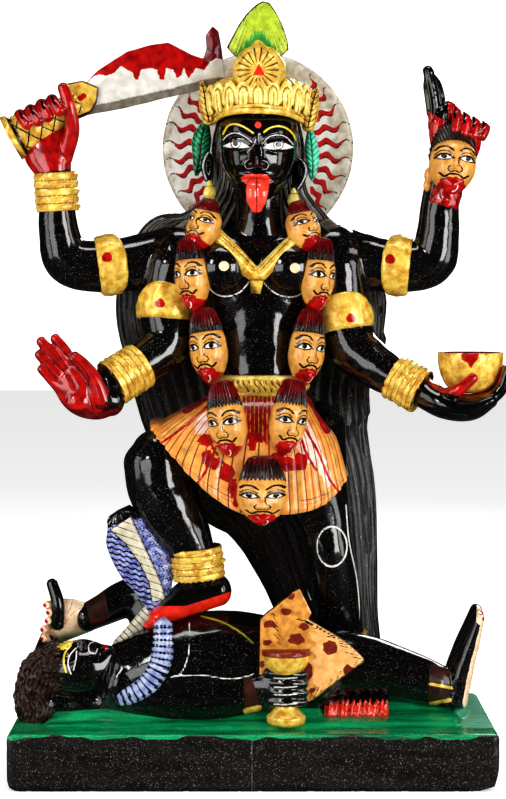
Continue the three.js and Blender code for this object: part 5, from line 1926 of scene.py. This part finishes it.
# Edges that fur runs in from, each with the number of its strokes and the way that they run
FUR = [
    ([(308, 621), (318, 626), (334, 635), (350, 646), (363, 659)], 16, (-14, -3)),
    ([(361, 664), (338, 680.5), (317, 696), (303, 705)], 9, (6, -12)),
    ([(276, 617), (279, 630), (281, 645)], 8, (-6, -6)),
]


def fur_lines():
    """Short brush strokes that run in from the skin's edges."""
    lines = []
    for edge, count, run in FUR:
        for k, start in enumerate(curve(edge, count)):
            length = 0.75 + 0.35 * math.sin(2.3 * k)
            lines.append([start + 0.1 * np.array(run), start + length * np.array(run)])
    return lines


def skin():
    """The leopard skin round the hips, with a flap that stands up and ends in a point."""
    forms = [
        limb([[14, -36, 56, 48, 50], [30, -36, 56, 48, 48], [44, -36, 56, 44, 42]], 96, 40, 0.1, 0.1),
        plate([(x, z) for x, y, z in at_depth(FLAP, -84)], -84, 11 * STEP),
        limb([[22, -46, 92, 16, 18], [34, -60, 104, 12, 14], [42, -76, 116, 7, 8]]),
    ]
    mesh = hand_worked(carved(forms, FINE_GRAIN, 7))
    marks, spots = marks_of(mesh), spots_of(mesh)
    inside = ovals(marks, SKIN_SPOTS) + 0.9 * ripple(spots, 8)
    lay(mesh, "brown", inside, -20 - spots[:, 1])
    edge = patch(marks, FLAP)
    on_flap = -60 - spots[:, 1]
    lay(mesh, "fringe", (marks[:, 0] - 312) / 9 + ripple(spots, 12), edge, on_flap)
    lay(mesh, "black", strokes(marks, fur_lines(), 0.9), edge, on_flap)
    return lay(mesh, "edge", 0.5 - np.abs(edge), on_flap)


# Shares of the drum's height and its radius there
DRUM = [
    [0, 15], [0.04, 18.5], [0.12, 19], [0.17, 15], [0.24, 11], [0.62, 11], [0.7, 15], [0.8, 21], [0.95, 24],
    [1, 22.5],
]


def drum():
    """The waisted drum that stands in Shiva's near hand."""
    low, high = (place[2] for place in at_depth([(279.5, 727), (279.5, 647)], -88))
    mesh = turned([32, -88, low + 2], [32, -88, high - 2], filled(DRUM, 80), 160)
    share = (spots_of(mesh)[:, 2] - low) / (high - low)
    rippled(mesh, 0.25, 15)
    return lay(mesh, "brown", either(60 * (share - 0.935), 0.7 - 60 * np.abs(share - 0.92)))


# Finishes


def finishes():
    """The material of each kind of surface, with the paints that can lie on it."""
    return {
        "plinth": painted(
            "plinth stone",
            PLINTH_STONE,
            dict(green=EMERALD, green_sheen=GREEN_SHEEN, seam=WHITE),
            brush=(0.12, 1, 1),
            specks=0.045,
            coat=0.25,
        ),
        "polished": painted("polished stone", STONE, dict(cream=CREAM, white=WHITE), specks=0.02, coat=0.8),
        # In the hair, grey is dust in the carving and painted highlight on the crests of the locks
        "hair": painted("hair", HAIR_STONE, dict(brown=HAIR, grey=DULL_SILVER), specks=0.03, coat=0.2),
        "brown_hair": painted("brown hair", BROWN_HAIR, dict(strand=BROWN), coat=0.2),
        "red_hand": painted("red hand", STONE, dict(red=RED, dark_red=DARK_RED), coat=0.8),
        # On the soles, the toe_highlight coat is a painted highlight on the toes' ridges
        "sole": painted("sole", STONE, dict(red=ORANGE_RED, toe_highlight=ROSE), coat=0.8),
        # On gold, the light coat is a painted highlight beside cuts and on raised rims
        "gold": painted(
            "gold paint",
            GOLD,
            dict(light=PALE_GOLD, dark=BROWN, red=RED, orange=ORANGE_RED),
            grain=0.3,
            coat=0.3,
        ),
        "pale_gold": painted("pale gold", PALE_GOLD, dict(dark=BROWN), grain=0.3, coat=0.3),
        "face": painted(
            "painted face",
            STONE,
            dict(grey=DULL_SILVER, yellow=YELLOW, white=WHITE, iris=BLACK, ring=WHITE, lips=CORAL),
            coat=0.8,
        ),
        "tongue": painted("tongue", CORAL, dict(dark_red=RED), coat=0.9),
        "silver": painted(
            "silver paint", SANDY, dict(pale=PALE, red=FLAME_RED, black=BLACK), grain=0.25, coat=0.2
        ),
        "lime": painted("leaf crest", LIME, dict(green=LEAF, dark=BROWN), coat=0.3),
        "emerald": painted("emerald leaf", EMERALD, dict(dark=BLACK), coat=0.4),
        "mint": painted("mint leaf", MINT, dict(dark=EMERALD), coat=0.4),
        "ochre": painted("garland face", OCHRE, dict(white=WHITE, red=RED, glint=WHITE, black=BLACK)),
        "tuft": painted("garland hair", BLACK, dict(strand=BROWN, red=DARK_RED), coat=0.4),
        "cloth": painted(
            "skirt", ORANGE, dict(light=OCHRE, blush=BLUSH, red=RED, row=RUST, pleat=RUST), coat=0.4
        ),
        # On the blade, grey is painted shade along its lower edge
        "steel": painted("blade", SILVER, dict(grey=DULL_SILVER, red=RED, dark_red=DARK_RED), coat=0.2),
        "hilt": painted("hilt", GOLD, dict(black=BLACK), grain=0.3, coat=0.3),
        "blood": painted("blood", RED, dict(dark=DARK_RED), coat=0.8),
        "bowl": painted("gilt bowl", GOLD, dict(red=RED, dark_red=DARK_RED), grain=0.35, coat=0.3),
        "shiva": painted(
            "painted Shiva",
            STONE,
            dict(
                brown=BROWN,
                gold=GOLD,
                cream=CREAM,
                pink=CREAM,
                yellow=OLIVE,
                bright=YELLOW,
                white=WHITE,
                red=RED,
            ),
            specks=0.02,
            coat=0.7,
        ),
        "palm": painted("palm", CREAM, dict(red=RED)),
        "snake": painted(
            "cobra", LAVENDER, dict(pale=ICE, black=BLACK, cream=BONE, black_line=BLACK, white=WHITE)
        ),
        "bands": painted("banded snake", ICE, dict(pale=BONE, black=BLACK)),
        "leopard": painted(
            "leopard skin", TAN, dict(fringe=PALE_OCHRE, brown=RUST, edge=BROWN, black=BLACK), coat=0.4
        ),
        "drum": painted("gilt drum", GOLD, dict(brown=RUST), grain=0.3, coat=0.3),
    }


# The studio


# The soft lights: where each stands, its width and height in metres and its power in watts
LAMPS = {
    "key": ((-1.2, -1.4, 1.3), 0.35, 0.45, 5),
    "top": ((0, -0.2, 1.9), 1.0, 0.35, 5),
    "rim": ((0.6, 1.4, 1.1), 0.6, 0.6, 5),
    "left_side": ((-1.25, -0.45, 0.45), 0.5, 1.1, 3),
    "right_side": ((1.25, -0.5, 0.45), 0.4, 1.1, 4),
    "left_screen": ((-1.15, -1.45, 0.4), 1.0, 1.0, 8),
    "right_screen": ((1.2, -1.3, 0.4), 0.62, 1.0, 12),
}


def studio():
    """The camera at the photo's viewpoint, a pale floor and soft lights."""
    scene = bpy.context.scene
    scene.view_settings.view_transform = "Standard"
    scene.view_settings.look = "High Contrast"
    camera = bpy.data.objects.new("camera", bpy.data.cameras.new("camera"))
    camera.data.lens = FOCAL
    camera.data.sensor_width = SENSOR
    camera.location = EYE
    camera.rotation_euler = (AIM - EYE).to_track_quat("-Z", "Y").to_euler()
    scene.collection.objects.link(camera)
    scene.camera = camera
    floor()
    for name, settings in LAMPS.items():
        softbox(name, *settings)
    world()


def floor():
    """A pale floor, which shows dimly in the stone's polish."""
    shape = bmesh.new()
    bmesh.ops.create_grid(shape, x_segments=1, y_segments=1, size=6)
    ground = bpy.data.objects.new("floor", finished(shape))
    bpy.context.scene.collection.objects.link(ground)
    material = bpy.data.materials.new("pale floor")
    material.use_nodes = True
    tree = material.node_tree
    ray = node(tree, "LightPath", {}).outputs
    wired(
        tree,
        tree.nodes["Principled BSDF"],
        {
            "Base Color": blended(tree, ray["Is Glossy Ray"], "#fbfbfa", "#303030"),
            "Emission Color": blended(tree, ray["Is Camera Ray"], "#000000", "#8c8c8c"),
            "Emission Strength": 1,
            "Roughness": 0.7,
        },
    )
    ground.data.materials.append(material)


def softbox(name, place, width, height, power):
    lamp = bpy.data.lights.new(name, "AREA")
    lamp.shape = "RECTANGLE"
    lamp.size, lamp.size_y = width, height
    lamp.energy = power
    box = bpy.data.objects.new(name, lamp)
    box.location = place
    box.rotation_euler = (Vector((0, 0, 0.3)) - Vector(place)).to_track_quat("-Z", "Y").to_euler()
    bpy.context.scene.collection.objects.link(box)


def world():
    """A white surround for the eye, a softer one on the paint, and a dim one in the stone's polish."""
    surround = bpy.data.worlds.new("surround")
    bpy.context.scene.world = surround
    surround.use_nodes = True
    tree = surround.node_tree
    ray = node(tree, "LightPath", {}).outputs
    unseen = blended(tree, ray["Is Glossy Ray"], "#a4a4a4", "#282828")
    colour = blended(tree, ray["Is Camera Ray"], unseen, "#ffffff")
    wired(tree, tree.nodes["Background"], {"Color": colour, "Strength": 1})


# Assembly


# Each band: its two ends, its half width, how far its edge arches, and the place and size of its red drop
BANDS = {
    "right_rear_band": ([-155, 0, 456], [-133, 2, 459], 30, 7, (107, 257), 4),
    "left_rear_band": ([157, 0, 456], [135, 2, 458], 30, 6, (390, 259), 4),
    "right_front_band": ([-88, -14, 402], [-86, -11, 424], 28.5, 15, (160, 303), 3.8),
    "left_front_band": ([93, -15, 392], [89, -12, 415], 28.5, 13, (351, 318), 3.6),
}
# Each stack of bangles: its two ends, its half width and how many bangles it holds
BANGLES = {
    "sword_wrist": ([-194, -9, 511], [-196, -11, 549], 22, 5),
    "open_wrist": ([-110, -34, 359], [-139, -49, 341], 24, 6),
    "bowl_wrist": ([138, -41, 348], [165, -52, 333], 23, 6),
    "right_ankle": ([-56, -52, 181], [-53, -51, 150], 26, 5),
    "left_ankle": ([92, 16, 86], [94, 18, 66], 24, 3),
}


def show_all():
    """Shows every piece. Those without a table are named after what makes them."""
    finish = finishes()

    def made(look, *makers):
        for maker in makers:
            show(maker.__name__, maker(), finish[look])

    body = show("plinth", plinth(), finish["plinth"])
    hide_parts("kali_figure")
    made("polished", kali_body, kali_legs)
    made("sole", foot_on_chest, foot_on_ground)
    made("red_hand", open_hand, bowl_hand, sword_hand, head_hand)
    made("face", kali_face)
    made("tongue", tongue)
    for name, side, leaf in (("right", -1, "emerald"), ("left", 1, "mint")):
        show(f"{name}_ear", ear(side), finish["polished"])
        show(f"{name}_earring", earring(side), finish["pale_gold"])
        show(f"{name}_ear_leaf", ear_leaf(side), finish[leaf])
        show(f"{name}_crown_wing", crown_wing(side), finish["gold"])
    made("gold", crown_band, crown_cup, rosette)
    made("lime", crest)
    made("silver", halo)
    made("hair", hair)
    for name, place in BANDS.items():
        show(name, band(*place), finish["gold"])
    for name, place in BANGLES.items():
        show(name, bangles(*place), finish["gold"])
    made("gold", necklace, belt)
    made("cloth", skirt)
    for k, head in enumerate(GARLAND):
        show(f"garland_head_{k + 1}", small_head(*head[:3]), finish["ochre"])
        show(f"garland_tuft_{k + 1}", tuft(*head), finish["tuft"])
    made("steel", blade)
    made("gold", sword_collar)
    made("hilt", sword_hilt)
    made("ochre", severed_head)
    made("brown_hair", severed_hair)
    made("blood", severed_neck)
    made("ochre", severed_ear)
    made("bowl", bowl)
    made("shiva", shiva_body)
    made("polished", shiva_hand)
    made("shiva", raised_arm)
    made("palm", raised_hand)
    made("polished", raised_finger)
    made("shiva", shiva_face)
    made("brown_hair", shiva_hair)
    made("snake", cobra_hood)
    made("bands", cobra_body)
    made("leopard", skin)
    made("drum", drum)


studio()
show_all()
